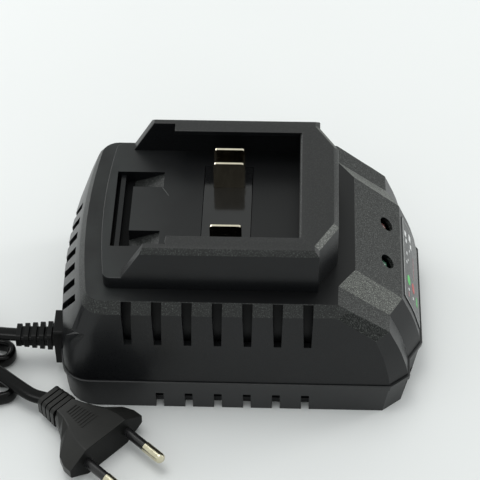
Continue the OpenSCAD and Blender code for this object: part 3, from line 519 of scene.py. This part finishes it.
def mark_bevels(piece, angle, chosen):
    """Gives every edge sharper than angle that is chosen by its middle, in millimetres, to the bevel."""
    mesh = bmesh.new()
    mesh.from_mesh(piece.data)
    weights = mesh.edges.layers.float
    weight = weights.get("bevel_weight_edge") or weights.new("bevel_weight_edge")
    for edge in mesh.edges:
        edge[weight] = 0
        if len(edge.link_faces) == 2 and edge.calc_face_angle(0) > math.radians(angle):
            middle = (edge.verts[0].co + edge.verts[1].co) / (2 * MM)
            if edge.calc_length() > SHORTEST_BEVELLED * MM and chosen(middle):
                edge[weight] = 1
    mesh.to_mesh(piece.data)
    mesh.free()


def held_to(piece, tree, reach):
    """Puts back any vertex that a bevel has thrown further than reach from the surface it came from."""
    for vertex in piece.data.vertices:
        near, _, _, away = tree.find_nearest(vertex.co)
        if away is not None and away > reach:
            vertex.co = near


def every_edge(middle):
    return True


def soften(piece, width_mm, angle=22, chosen=every_edge, smooth=34):
    """Rounds the chosen edges sharper than angle, and shades as smooth what bends less than smooth."""
    mesh = bmesh.new()
    mesh.from_mesh(piece.data)
    before = BVHTree.FromBMesh(mesh)
    mesh.free()
    mark_bevels(piece, angle, chosen)
    bevel = piece.modifiers.new("soft edges", "BEVEL")
    bevel.limit_method = "WEIGHT"
    bevel.width = width_mm * MM
    bevel.segments = BEVEL_SEGMENTS
    bevel.use_clamp_overlap = False
    bevel.harden_normals = False
    apply_all(piece)
    held_to(piece, before, OVERSHOOT * width_mm * MM)
    only(piece)
    bpy.ops.object.shade_smooth_by_angle(angle=math.radians(smooth))
    return piece


def dress(piece, *materials):
    piece.data.materials.clear()
    for material in materials:
        piece.data.materials.append(material)
    return piece


def paint_faces(piece, finish):
    """Gives each face the material whose number finish says, by its centre in millimetres and its normal."""
    for face in piece.data.polygons:
        face.material_index = finish(face.center / MM, face.normal)


def stands_for(piece, slot, *nodes):
    """A piece of the one body, in place of the nodes named, if any."""
    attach(piece, "root")
    if nodes:
        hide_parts(*nodes)
    return piece


def joined(name, pieces, material, slot):
    """Several small pieces made one."""
    only(pieces[0])
    for piece in pieces[1:]:
        piece.select_set(True)
    bpy.ops.object.join()
    pieces[0].name = name
    dress(pieces[0], material)
    return stands_for(pieces[0], slot)


# ---------------------------------------------------------------- lead

LEAD_WIDTH, LEAD_THICK, LEAD_SMOOTH = 5.6, 2.9, 50
# The lead's middle line from the casing to the hank and from the hank to the plug: x, y, z and lean.
LEAD_START = [
    (-81.7, -24, 14.5, 0), (-86.5, -23.8, 14.6, 0), (-92, -23.2, 14.5, 5), (-98, -22, 13.8, 12),
    (-104.5, -19.5, 12.2, 25), (-110.5, -15.5, 9.6, 45), (-114.5, -9.5, 6.6, 65), (-114.5, -3, 4.3, 85),
    (-110.5, 1.5, 3.2, 90), (-105, 1.2, 2.9, 90), (-100.8, -3.5, 2.9, 90), (-98.5, -9.5, 2.9, 90),
    (-96, -15, 2.9, 90), (-92, -18.8, 2.9, 90), (-88.7, -19.5, 2.9, 90), (-86.3, -21.3, 2.9, 90),
    (-85.8, -24, 2.9, 90), (-87.3, -26.6, 2.9, 90), (-90.5, -27.4, 2.9, 90), (-96, -26.8, 3, 90),
    (-103, -25.2, 3.2, 90), (-110, -23, 3.5, 90), (-119.3, -20.9, 3.6, 90)]
LEAD_END = [
    (-119.3, -51.7, 3.6, 90), (-113, -52, 3.5, 90), (-106, -51.8, 3.3, 90), (-99.5, -50.3, 3, 90),
    (-93.5, -47.6, 2.9, 90), (-88.2, -45.4, 2.9, 90), (-84.6, -44, 2.9, 90), (-83.2, -41, 2.9, 90),
    (-84.6, -38, 2.9, 90), (-88, -36.9, 2.9, 90), (-93.5, -37.2, 2.9, 90), (-98.8, -37.6, 2.9, 90),
    (-103.2, -35.6, 3, 88), (-104.4, -31.4, 3.4, 80), (-101.6, -28.9, 4.4, 60), (-97.2, -30.2, 5.8, 30),
    (-92.2, -33.9, 6.9, 8), (-86.4, -38.4, 7.3, 0), (-80.2, -43.2, 7.2, 0), (-75, -46.6, 7, 0),
    (-69, -48.3, 6.85, 0)]
HANK_RIGHT, HANK_LEFT, HANK_Y = -130.0, -199.5, -36.0
HANK_LANES = [(15.4, 3.6), (12.2, 3.6), (9.0, 3.6), (9.0, 9.5), (12.2, 9.5), (15.4, 9.5)]  # radius, height
ON_EDGE = 90                                               # lean of the flat lead in the hank
FAR_STEPS, NEAR_STEPS, END_STEPS = 8, 14, 12               # along a far run, a near run and round an end
CHANGE_FROM, CHANGE_TO = -160.0, -130.0                    # where a near run moves on to the next lane
CHANGE_BULGES = {2: -2.4, 5: 2.4}                          # how far it swings out, after these lanes
ROUTE_STEPS, HANK_STEPS = 4, 2                             # pieces between two points of the lead


def ease(t):
    """A smooth step from 0 to 1."""
    t = max(0.0, min(1.0, t))
    return t * t * (3 - 2 * t)


def hank_end(centre_x, radius, first, last):
    """The turn at one end of the hank, from one angle to another, without its first point."""
    for i in range(1, END_STEPS + 1):
        a = math.radians(first + (last - first) * i / END_STEPS)
        yield centre_x + radius * math.cos(a), HANK_Y + radius * math.sin(a)


def hank_points():
    """The folded part: six turns in two layers; each near run moves on to the next lane."""
    points = []
    for k, (radius, height) in enumerate(HANK_LANES):
        next_radius, next_height = HANK_LANES[(k + 1) % len(HANK_LANES)]
        bulge = CHANGE_BULGES.get(k, 0)
        for i in range(FAR_STEPS + 1):
            x = HANK_RIGHT + (HANK_LEFT - HANK_RIGHT) * i / FAR_STEPS
            points.append((x, HANK_Y + radius, height, ON_EDGE))
        points += [(x, y, height, ON_EDGE) for x, y in hank_end(HANK_LEFT, radius, 90, 270)]
        for i in range(1, NEAR_STEPS + 1):
            x = HANK_LEFT + (HANK_RIGHT - HANK_LEFT) * i / NEAR_STEPS
            s = ease((x - CHANGE_FROM) / (CHANGE_TO - CHANGE_FROM))
            y = HANK_Y - radius - (next_radius - radius) * s - bulge * math.sin(math.pi * s)
            points.append((x, y, height + (next_height - height) * s, ON_EDGE))
        if k < len(HANK_LANES) - 1:
            turn = [(x, y, next_height, ON_EDGE) for x, y in hank_end(HANK_RIGHT, next_radius, -90, 90)]
            points += turn[:-1]
    return points


def smoothed(points, steps):
    """Catmull-Rom through all points, with steps pieces between each two."""
    out = []
    for i in range(len(points) - 1):
        p0, p1, p2, p3 = (Vector(points[max(0, min(len(points) - 1, i + d))]) for d in (-1, 0, 1, 2))
        for s in range(steps):
            t = s / steps
            out.append(0.5 * (2 * p1 + (p2 - p0) * t + (2 * p0 - 5 * p1 + 4 * p2 - p3) * t * t
                              + (3 * p1 - 3 * p2 + p3 - p0) * t ** 3))
    return out + [Vector(points[-1])]


def oval(width, thick, steps=5):
    """Section of a flat lead: two round edges joined by flat sides."""
    r = thick / 2
    half = []
    for i in range(steps + 1):
        a = math.radians(-90 + 180 * i / steps)
        half.append((width / 2 - r + r * math.cos(a), r * math.sin(a)))
    return half + [(-x, -y) for x, y in half]


def tube(name, points, width, thick):
    """A mesh tube along points of x, y, z and lean in millimetres, with its ring centres in metres."""
    section = oval(width, thick)
    vertices, faces, centres = [], [], []
    n = len(section)
    for i, p in enumerate(points):
        here = Vector(p[:3])
        ahead = Vector(points[min(i + 1, len(points) - 1)][:3]) - Vector(points[max(i - 1, 0)][:3])
        along = ahead.normalized()
        side = Vector((0, 0, 1)).cross(along).normalized()
        over = along.cross(side)
        lean = math.radians(p[3])
        wide = math.cos(lean) * side + math.sin(lean) * over
        thin = math.cos(lean) * over - math.sin(lean) * side
        centres.append(here * MM)
        vertices += [(here + wide * a + thin * b) * MM for a, b in section]
        if i:
            base = (i - 1) * n
            faces += [(base + k, base + (k + 1) % n, base + n + (k + 1) % n, base + n + k) for k in range(n)]
    faces.append(tuple(reversed(range(n))))
    faces.append(tuple(range(len(vertices) - n, len(vertices))))
    mesh = bpy.data.meshes.new(name)
    mesh.from_pydata(vertices, [], faces)
    piece = bpy.data.objects.new(name, mesh)
    bpy.context.scene.collection.objects.link(piece)
    face_outwards(piece)
    bpy.ops.object.shade_smooth_by_angle(angle=math.radians(LEAD_SMOOTH))
    return piece, centres


def make_lead():
    route = smoothed(LEAD_START, ROUTE_STEPS)[:-1] + smoothed(hank_points(), HANK_STEPS)[:-1]
    route += smoothed(LEAD_END, ROUTE_STEPS)
    lead, centres = tube("power_lead", route, LEAD_WIDTH, LEAD_THICK)
    dress(lead, lead_rubber())
    stands_for(lead, "lead_black", "power_lead_start", "power_lead_hank", "power_lead_end")
    length = sum((b - a).length for a, b in zip(centres, centres[1:]))
    return lead, centres, length


def make_tie():
    tie = copy_of("lead_tie", "lead_tie_strap")
    soften(tie, width_mm=0.3, angle=30)
    dress(tie, tie_gloss())
    return stands_for(tie, "tie_black", "lead_tie")


def make_relief():
    relief = copy_of("strain_relief", "lead_strain_relief")
    soften(relief, width_mm=0.35, angle=30)
    dress(relief, relief_rubber())
    return stands_for(relief, "soft_black", "strain_relief")


# ---------------------------------------------------------------- plug

PLUG_FACE, PLUG_TURN = Vector((-45.9, -69.2, 0)), math.radians(-42.3)
PIN_WAY, FRONT_WITHIN = Vector((math.cos(PLUG_TURN), math.sin(PLUG_TURN), 0)), 0.7
GRIP, FRONT = range(2)
# Height of the plug's top at distances along it, from its grip's end to its front face.
PLUG_TOPS = [(-22, 12.06), (-17.6, 13.0), (-13.2, 13.43), (-8.8, 13.7), (0, 13.7)]
RIDGES, RIDGE_FIRST, RIDGE_PITCH = 8, -18.2, 1.35
RIDGE_HALF_WIDE, RIDGE_WIDENS = 2.6, 0.22                  # of the first ridge, and from each to the next
RIDGE_FOOT, RIDGE_TOP, RIDGE_END_SLOPE = 0.8, 0.35, 0.4    # along the plug, and how far its ends lean in
RIDGE_SUNK, RIDGE_RISE = 0.3, 0.22


def make_plug():
    plug = copy_of("plug_body", "plug_shell")
    soften(plug, width_mm=0.3, angle=18, smooth=9)
    dress(plug, plug_satin(), plug_front_painted_shade())
    # the face the pins stand on takes the painted shade
    paint_faces(plug, lambda centre, normal: FRONT if normal.dot(PIN_WAY) > FRONT_WITHIN else GRIP)
    return stands_for(plug, "plug_plastic", "plug_body")


def plug_top(x):
    """Height of the plug's top at a distance x along it, from its front face back."""
    for (x0, z0), (x1, z1) in zip(PLUG_TOPS, PLUG_TOPS[1:]):
        if x <= x1:
            return z0 + (z1 - z0) * (x - x0) / (x1 - x0)
    return PLUG_TOPS[-1][1]


def grip_ridge(i):
    """One of the low ridges across the plug's top, narrower towards the lead."""
    x, half_wide = RIDGE_FIRST + RIDGE_PITCH * i, RIDGE_HALF_WIDE + RIDGE_WIDENS * i
    place = PLUG_FACE + PIN_WAY * x + Vector((0, 0, plug_top(x)))
    return low_bar(place, PLUG_TURN, (RIDGE_FOOT, 2 * half_wide),
                   (RIDGE_TOP, 2 * (half_wide - RIDGE_END_SLOPE)), RIDGE_SUNK, RIDGE_RISE)


def make_grip():
    ridges = [grip_ridge(i) for i in range(RIDGES)]
    return joined("plug_grip_ridges", ridges, plug_satin(), "plug_plastic")


lead, lead_centres, lead_length = make_lead()
tie = make_tie()
relief = make_relief()
plug = make_plug()


# ---------------------------------------------------------------- shells

SEAM_Z = (14.0, 14.7)                                      # the lower shell's rim is between these
SIDE_RIM_Y, END_RIM_X = 43.5, 60
LEDGE_BEVEL_Z, HOOD_Z = (48.9, 53.0), (36.5, 53.0)         # of the slanted faces below the ledge
RECESS_Z, DECK_Z, TOP_Z, NEAR = 53.2, 58.2, 72.0, 0.5      # levels, and how near them a face lies
RECESS_X, LATCH_SLOPE_X, LATCH_SLOPE_Y = (-46, -39), (-40, -28), (11, 19.2)
PLATFORM_BEVEL, PLATFORM_CORNER_X, SHOULDER_X = 2.2, 28, 38
BAY_Y, DECK_END_X, RAIL_END_X, PLATFORM_Z = 21, -47.5, -41, 59.5
LEVEL, UPRIGHT = 0.93, 0.25                                # a normal's Z is above the one, below the other
SLANTED, CORNER_FACET = 0.3, (0.25, 0.5)                   # the X or Y of a slanted face's normal
SMOOTH, DECK, FINE, SOFT, HOOD, PAINTED_HIGHLIGHT, SHOULDER, RECESS = range(8)


def between(ends, value):
    return ends[0] < value < ends[1]


def finish_of(centre, normal):
    """Which of the upper shell's finishes a face has, by its place in millimetres and its normal."""
    x, y, z = centre
    sideways, to_nose = abs(normal.y), normal.x > SLANTED
    on_latch_slope = between(LATCH_SLOPE_X, x) and between(LATCH_SLOPE_Y, abs(y)) and z < DECK_Z
    # the latch's slopes take the paler spark finish: painted light for their tilt towards the open end
    if on_latch_slope and normal.x < -SLANTED:
        return SOFT
    if normal.z >= LEVEL:
        if z > TOP_Z - NEAR:
            return FINE
        if between(RECESS_X, x) and z < DECK_Z - NEAR:
            # the recess's floor takes the painted shade
            return RECESS if z < RECESS_Z + NEAR else SMOOTH
        return DECK
    if normal.z < UPRIGHT:
        return SMOOTH
    if z > TOP_Z - PLATFORM_BEVEL:
        # the platform's corner bevel takes the painted highlight
        return PAINTED_HIGHLIGHT if x > PLATFORM_CORNER_X and sideways > SLANTED and to_nose else SOFT
    if x > SHOULDER_X and between(HOOD_Z, z):
        # the hood's corner facet takes the painted highlight
        if between(CORNER_FACET, sideways) and to_nose:
            return PAINTED_HIGHLIGHT
        # the steeper shoulder facets take the painted shade
        return SHOULDER if sideways >= CORNER_FACET[1] else HOOD
    return SOFT if between(LEDGE_BEVEL_Z, z) else SMOOTH


def upper_rims(middle):
    """The edges that a hand meets: the platform's and the deck's outline, not those of slots and bays."""
    x, y, z = middle
    beside_recess = abs(y) > BAY_Y and x < RAIL_END_X
    return z > PLATFORM_Z or (abs(z - DECK_Z) < NEAR and (x < DECK_END_X or beside_recess))


def lower_rims(middle):
    """The lower shell's outer edge at the seam, all round."""
    return between(SEAM_Z, middle.z) and (abs(middle.y) > SIDE_RIM_Y or abs(middle.x) > END_RIM_X)


def make_upper_shell():
    shell = copy_of("upper_shell", "upper_casing")
    dress(shell, casing_satin(), deck_satin(), platform_fine(), spark_soft(), spark_hood(), spark_painted_highlight(),
          spark_shoulder_painted_shade(), recess_painted_shade())
    paint_faces(shell, finish_of)
    soften(shell, width_mm=0.25, angle=24, chosen=upper_rims, smooth=17)
    return stands_for(shell, "casing_plastic", "upper_shell")


def make_lower_shell():
    shell = copy_of("lower_shell", "lower_casing")
    dress(shell, skirt_satin())
    soften(shell, width_mm=0.35, angle=30, chosen=lower_rims, smooth=17)
    return stands_for(shell, "casing_plastic", "lower_shell")


make_upper_shell()
make_lower_shell()


# ---------------------------------------------------------------- screens and witness lines

SCREEN_X = (-46, 36)                                       # the near side's screen; the far one mirrors it
SCREEN_Y, SCREEN_TOP_Y, SCREEN_Z, SCREEN_THICK = -40.2, -37.2, (32.5, 49.6), 1.0
SCREEN_CUTS = 3                                            # it folds along the middle one
WITNESS_LINES = [((-29, 10.9), (-26.4, 6.6)), ((-26.2, -13.7), (-26.7, -17.2))]
WITNESS_FOOT, WITNESS_TOP, WITNESS_SUNK, WITNESS_RISE = 0.42, 0.18, 0.1, 0.09


def folded_screen():
    """An upright sheet whose top half leans inwards with the casing's wall."""
    screen = started(bpy.ops.mesh.primitive_plane_add, size=MM)
    edit(screen)
    bpy.ops.mesh.subdivide(number_cuts=SCREEN_CUTS)
    close_edit()
    fold = sum(SCREEN_Z) / 2
    size = (SCREEN_X[1] - SCREEN_X[0], SCREEN_Z[1] - SCREEN_Z[0], 1)
    settle(screen, (sum(SCREEN_X) / 2, SCREEN_Y, fold), TO_NEAR_SIDE, size)
    for corner in screen.data.vertices:
        over = max(0, corner.co.z / MM - fold) / (SCREEN_Z[1] - fold)
        corner.co.y += (SCREEN_TOP_Y - SCREEN_Y) * over * MM
    wall = screen.modifiers.new("wall", "SOLIDIFY")
    wall.thickness = SCREEN_THICK * MM
    wall.offset = 1
    apply_all(screen)
    return screen


def make_vent_shade_screens():
    """A dark folded screen behind each side's slots: painted shade, a black sheet that keeps the slots dark
    where the parts inside would show.
    """
    near = folded_screen()
    near.name = "vent_shade_screen"
    soften(near, width_mm=0.25, angle=50)
    face_outwards(near)
    far = bpy.data.objects.new("vent_shade_screen_far", near.data.copy())
    bpy.context.scene.collection.objects.link(far)
    far.data.transform(Matrix.Scale(-1, 4, (0, 1, 0)))
    far.data.flip_normals()
    black = vent_shade_black()
    for screen in (near, far):
        dress(screen, black)
        stands_for(screen, "casing_plastic")


def witness_line(start, end):
    """A fine raised line that the mould leaves on the bay's floor."""
    start, end = Vector((*start, DECK_Z)), Vector((*end, DECK_Z))
    along = end - start
    return low_bar((start + end) / 2, math.atan2(along.y, along.x), (along.length, WITNESS_FOOT),
                   (along.length, WITNESS_TOP), WITNESS_SUNK, WITNESS_RISE)


def make_witness_lines():
    lines = [witness_line(start, end) for start, end in WITNESS_LINES]
    return joined("mould_witness_lines", lines, witness_pale(), "casing_plastic")


make_vent_shade_screens()


# ---------------------------------------------------------------- terminals

EDGE_ON, FLAT_SIDE = range(2)
FLAT_SIDE_Y = 0.95                                         # a flat side's normal has a Y above this


def make_terminals():
    block = copy_of("terminal_block", "terminal_block_body")
    soften(block, width_mm=0.12, angle=40, smooth=12)
    dress(block, terminal_gloss())
    stands_for(block, "block_plastic", "terminal_block")
    for letter in "abc":
        blade = copy_of(f"contact_blade_{letter}", f"contact_blade_{letter}_plated")
        dress(blade, blade_nickel(), blade_painted_reflection())
        # the flat sides take the painted dark reflection
        paint_faces(blade, lambda centre, normal: FLAT_SIDE if abs(normal.y) > FLAT_SIDE_Y else EDGE_ON)
        soften(blade, width_mm=0.16, angle=40)
        stands_for(blade, "contact_metal", f"contact_blade_{letter}")


make_terminals()


# ---------------------------------------------------------------- CAD nodes that stay as they are

FINISHED = {
    "plug_pins": pin_nickel, "plug_sleeves": sleeve_gloss, "housing_screws": screw_zinc,
    "board_screws": screw_zinc, "rating_plate": plate_film, "front_label": label_film,
    "red_light": red_lens, "green_light": green_lens, "light_board": board_mask, "main_board": board_mask,
    "fuse": fuse_glass, "filter_choke": choke_wire, "transformer_winding": winding_tape,
    "switch_heat_sink": extruded_sink, "diode_heat_sink": sheet_sink}
# Node: name of the finish, dark, light, roughness, grain and its depth in millimetres.
MOULDED = {
    "light_leads": ("red_sleeve", (0.26, 0.02, 0.015), (0.36, 0.04, 0.03), 0.36, 0.5, 0.004),
    "output_leads": ("red_lead", (0.30, 0.03, 0.02), (0.40, 0.05, 0.035), 0.38, 0.6, 0.004),
    "mains_leads": ("blue_lead", (0.03, 0.06, 0.20), (0.06, 0.10, 0.30), 0.38, 0.6, 0.004),
    "varistor": ("blue_epoxy", (0.03, 0.09, 0.32), (0.06, 0.15, 0.48), 0.3, 0.7, 0.02),
    "safety_capacitor": ("pale_blue_epoxy", (0.04, 0.16, 0.36), (0.07, 0.24, 0.5), 0.3, 0.7, 0.02),
    "filter_capacitor": ("box_grey", (0.02, 0.021, 0.023), (0.035, 0.036, 0.038), 0.4, 0.5, 0.006),
    "bridge_rectifier": ("epoxy_black", (0.014, 0.014, 0.015), (0.022, 0.022, 0.024), 0.5, 0.3, 0.01),
    "bulk_capacitor": ("sleeve_blue", (0.015, 0.025, 0.07), (0.03, 0.045, 0.11), 0.26, 2, 0.004),
    "output_capacitors": ("sleeve_violet", (0.03, 0.03, 0.10), (0.05, 0.05, 0.14), 0.26, 2, 0.004),
    "switch_transistor": ("switch_black", (0.013, 0.013, 0.014), (0.02, 0.02, 0.022), 0.5, 0.3, 0.01),
    "output_diode": ("diode_black", (0.013, 0.013, 0.014), (0.02, 0.02, 0.022), 0.52, 0.3, 0.01),
    "optocoupler": ("opto_black", (0.014, 0.014, 0.015), (0.021, 0.021, 0.022), 0.48, 0.3, 0.008),
    "control_chip": ("chip_black", (0.012, 0.012, 0.013), (0.02, 0.02, 0.021), 0.5, 0.25, 0.008),
    "transformer_core": ("ferrite_grey", (0.04, 0.04, 0.043), (0.07, 0.07, 0.074), 0.6, 0.4, 0.02),
    "transformer_bobbin": ("bobbin_cream", (0.56, 0.52, 0.40), (0.68, 0.64, 0.5), 0.45, 0.5, 0.006)}


def dress_cad_nodes():
    """Gives each CAD node that is shown as it is its own material."""
    for node, finish in FINISHED.items():
        dress(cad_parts[node], finish())
    for node, finish in MOULDED.items():
        dress(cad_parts[node], moulded(*finish))


dress_cad_nodes()


# ---------------------------------------------------------------- label marks

LABEL_LEVELS = [17.5, 20, 26.25, 30, 36]                   # heights of its lower end, its bends and its top
NOSE_Z, NOSE_FOOT_X, LABEL_THICK = (14.5, 38), 67.1, 0.3
NOSE_LEAN, NOSE_SWELL = 8.1, 0.8                           # how far the nose leans back, and bulges midway
PRINT_THICK, PRINT_RISE = 0.09, 0.05
FRAME_INSET, FRAME_HALF_WIDE, FRAME_LINE = 0.4, 19.6, 0.35
# Marks at Y and Z on the label, with their width and height.
PALE_BARS = [
    (13.4, 33.4, 2.4, 1.5), (10.4, 32.7, 1.9, 1.1), (15.2, 28.8, 3.2, 2.0), (11.6, 27.8, 2.2, 1.5),
    (4.3, 32.4, 1.6, 0.7), (-0.4, 32.8, 1.2, 0.8), (1.8, 31.4, 1.0, 0.5), (8.0, 29.6, 1.4, 0.5)]
PALE_SPOTS = [(-13.1, 31.6, 1.2, 1.2), (-13.7, 27.1, 1.2, 1.2)]
GREEN_SPOT, GREEN_BAR = (-8.3, 31.4, 4.6, 2.7), (-11.0, 21.8, 4.2, 1.5)
RED_SPOT = (-8.3, 26.5, 4.8, 3.0)
ROSE_BARS = [(2.6, 25.2, 11.4, 0.5), (-15.8, 31.9, 2.4, 0.6)]


def nose_x(z):
    """X of the label's outer face at height z, in millimetres, if it were not flat between its levels."""
    up = (z - NOSE_Z[0]) / (NOSE_Z[1] - NOSE_Z[0])
    return NOSE_FOOT_X + LABEL_THICK - NOSE_LEAN * up + NOSE_SWELL * math.sin(math.pi * up)


def label_x(z):
    """X of the label's outer face at height z."""
    for low, high in zip(LABEL_LEVELS, LABEL_LEVELS[1:]):
        if z <= high:
            up = (z - low) / (high - low)
            return nose_x(low) * (1 - up) + nose_x(high) * up
    return nose_x(LABEL_LEVELS[-1])


def printed(patch, y, z, wide, high):
    """Turns a flat outline of unit size to the front, sizes it, and lays it on the label as a thin print."""
    settle(patch, (0, y, z), TO_NOSE, (wide, high, 1))
    for corner in patch.data.vertices:
        corner.co.x = (label_x(corner.co.z / MM) + PRINT_RISE) * MM
    edit(patch)
    bpy.ops.mesh.extrude_region_move(TRANSFORM_OT_translate={"value": (-PRINT_THICK * MM, 0, 0)})
    face_outwards(patch)
    return patch


def printed_bar(y, z, wide, high):
    return printed(started(bpy.ops.mesh.primitive_plane_add, size=MM), y, z, wide, high)


def printed_spot(y, z, wide, high, corners=20):
    outline = started(bpy.ops.mesh.primitive_circle_add, vertices=corners, radius=MM / 2, fill_type="NGON")
    return printed(outline, y, z, wide, high)


def label_frame_line():
    """A thin line round the label, in stretches that end where the label's face bends."""
    lowest, *bends, highest = LABEL_LEVELS
    levels = [lowest + FRAME_INSET, *bends, highest - FRAME_INSET]
    line = [printed_bar(y, (low + high) / 2, FRAME_LINE, high - low)
            for low, high in zip(levels, levels[1:]) for y in (-FRAME_HALF_WIDE, FRAME_HALF_WIDE)]
    return line + [printed_bar(0, z, 2 * FRAME_HALF_WIDE, FRAME_LINE) for z in (levels[-1], levels[0])]


def make_label_marks():
    """Plain marks of no meaning: a frame line, some dashes, round spots and short bars."""
    frame_line = label_frame_line()
    pale = [printed_bar(*bar) for bar in PALE_BARS] + [printed_spot(*spot, corners=12) for spot in PALE_SPOTS]
    green = [printed_spot(*GREEN_SPOT), printed_bar(*GREEN_BAR)]
    red = [printed_spot(*RED_SPOT)]
    rose = [printed_bar(*bar) for bar in ROSE_BARS]
    for name, marks, ink, dark, light in (
            ("label_frame_line", frame_line, "ink_grey", (0.30, 0.31, 0.30), (0.40, 0.41, 0.40)),
            ("label_marks_pale", pale, "ink_pale", (0.62, 0.63, 0.62), (0.74, 0.75, 0.74)),
            ("label_marks_green", green, "ink_green", (0.06, 0.42, 0.08), (0.10, 0.55, 0.14)),
            ("label_marks_red", red, "ink_red", (0.36, 0.05, 0.05), (0.50, 0.09, 0.08)),
            ("label_marks_rose", rose, "ink_rose", (0.30, 0.14, 0.15), (0.40, 0.20, 0.21))):
        joined(name, marks, print_ink(ink, dark, light), "label_film")


make_label_marks()
make_grip()
make_witness_lines()


# ---------------------------------------------------------------- surroundings and light

FLOOR_SIZE, FLOOR_DROP = 7, 0.02                           # in metres, and in millimetres


def table_white():
    material, tree, shader = blank("table_white")
    drift = noise(tree, place_on_piece(tree), size_mm=180, detail=3)
    tree.links.new(drifting(tree, drift, (0.765, 0.785, 0.765), (0.785, 0.805, 0.785)),
                   shader.inputs["Base Color"])
    shader.inputs["Roughness"].default_value = 0.75
    shader.inputs["Specular IOR Level"].default_value = 0.2
    return material


def make_floor():
    floor = started(bpy.ops.mesh.primitive_plane_add, size=FLOOR_SIZE, location=(0, 0, -FLOOR_DROP * MM))
    floor.name = "table_top"
    dress(floor, table_white())


def background(tree, colour, strength):
    node = tree.nodes.new("ShaderNodeBackground")
    node.inputs["Color"].default_value = (*colour, 1)
    node.inputs["Strength"].default_value = strength
    return node.outputs[0]


def either(tree, one, other):
    """1 where either of two yes-or-no values is 1."""
    node = tree.nodes.new("ShaderNodeMath")
    node.operation = "MAXIMUM"
    tree.links.new(one, node.inputs[0])
    tree.links.new(other, node.inputs[1])
    return node.outputs[0]


def light_world():
    """Pale all round for the camera and for reflections, and a weaker soft light on the surfaces."""
    world = bpy.data.worlds.new("studio")
    bpy.context.scene.world = world
    world.use_nodes = True
    tree = world.node_tree
    tree.nodes.clear()
    output = tree.nodes.new("ShaderNodeOutputWorld")
    ambient = background(tree, colour=(0.96, 0.98, 1.0), strength=0.80)
    seen = background(tree, colour=(0.84, 0.87, 0.85), strength=1.0)
    path = tree.nodes.new("ShaderNodeLightPath").outputs
    clear_view = either(tree, path["Is Camera Ray"], path["Is Glossy Ray"])
    mix = tree.nodes.new("ShaderNodeMixShader")
    tree.links.new(either(tree, clear_view, path["Is Transmission Ray"]), mix.inputs["Fac"])
    tree.links.new(ambient, mix.inputs[1])
    tree.links.new(seen, mix.inputs[2])
    tree.links.new(mix.outputs[0], output.inputs["Surface"])


def soft_light(name, place, aim, size, power):
    """A rectangular lamp at place, in metres, turned to aim."""
    data = bpy.data.lights.new(name, "AREA")
    data.shape = "RECTANGLE"
    data.size, data.size_y = size
    data.energy = power
    lamp = bpy.data.objects.new(name, data)
    bpy.context.scene.collection.objects.link(lamp)
    lamp.location = place
    lamp.rotation_euler = (Vector(aim) - Vector(place)).to_track_quat("-Z", "Y").to_euler()


def light_studio():
    light_world()
    soft_light("key_above", place=(-0.20, 0.08, 1.25), aim=(0, -0.03, 0), size=(0.6, 0.6), power=4.3)
    soft_light("side_left", place=(-0.46, 0.44, 0.24), aim=(-0.02, 0, 0.04), size=(0.25, 0.25), power=0.7)
    soft_light("side_right", place=(0.66, 0.24, 0.25), aim=(0.04, -0.02, 0.04), size=(0.20, 0.25), power=1.0)


make_floor()
light_studio()
bpy.context.scene.view_settings.view_transform = "Standard"
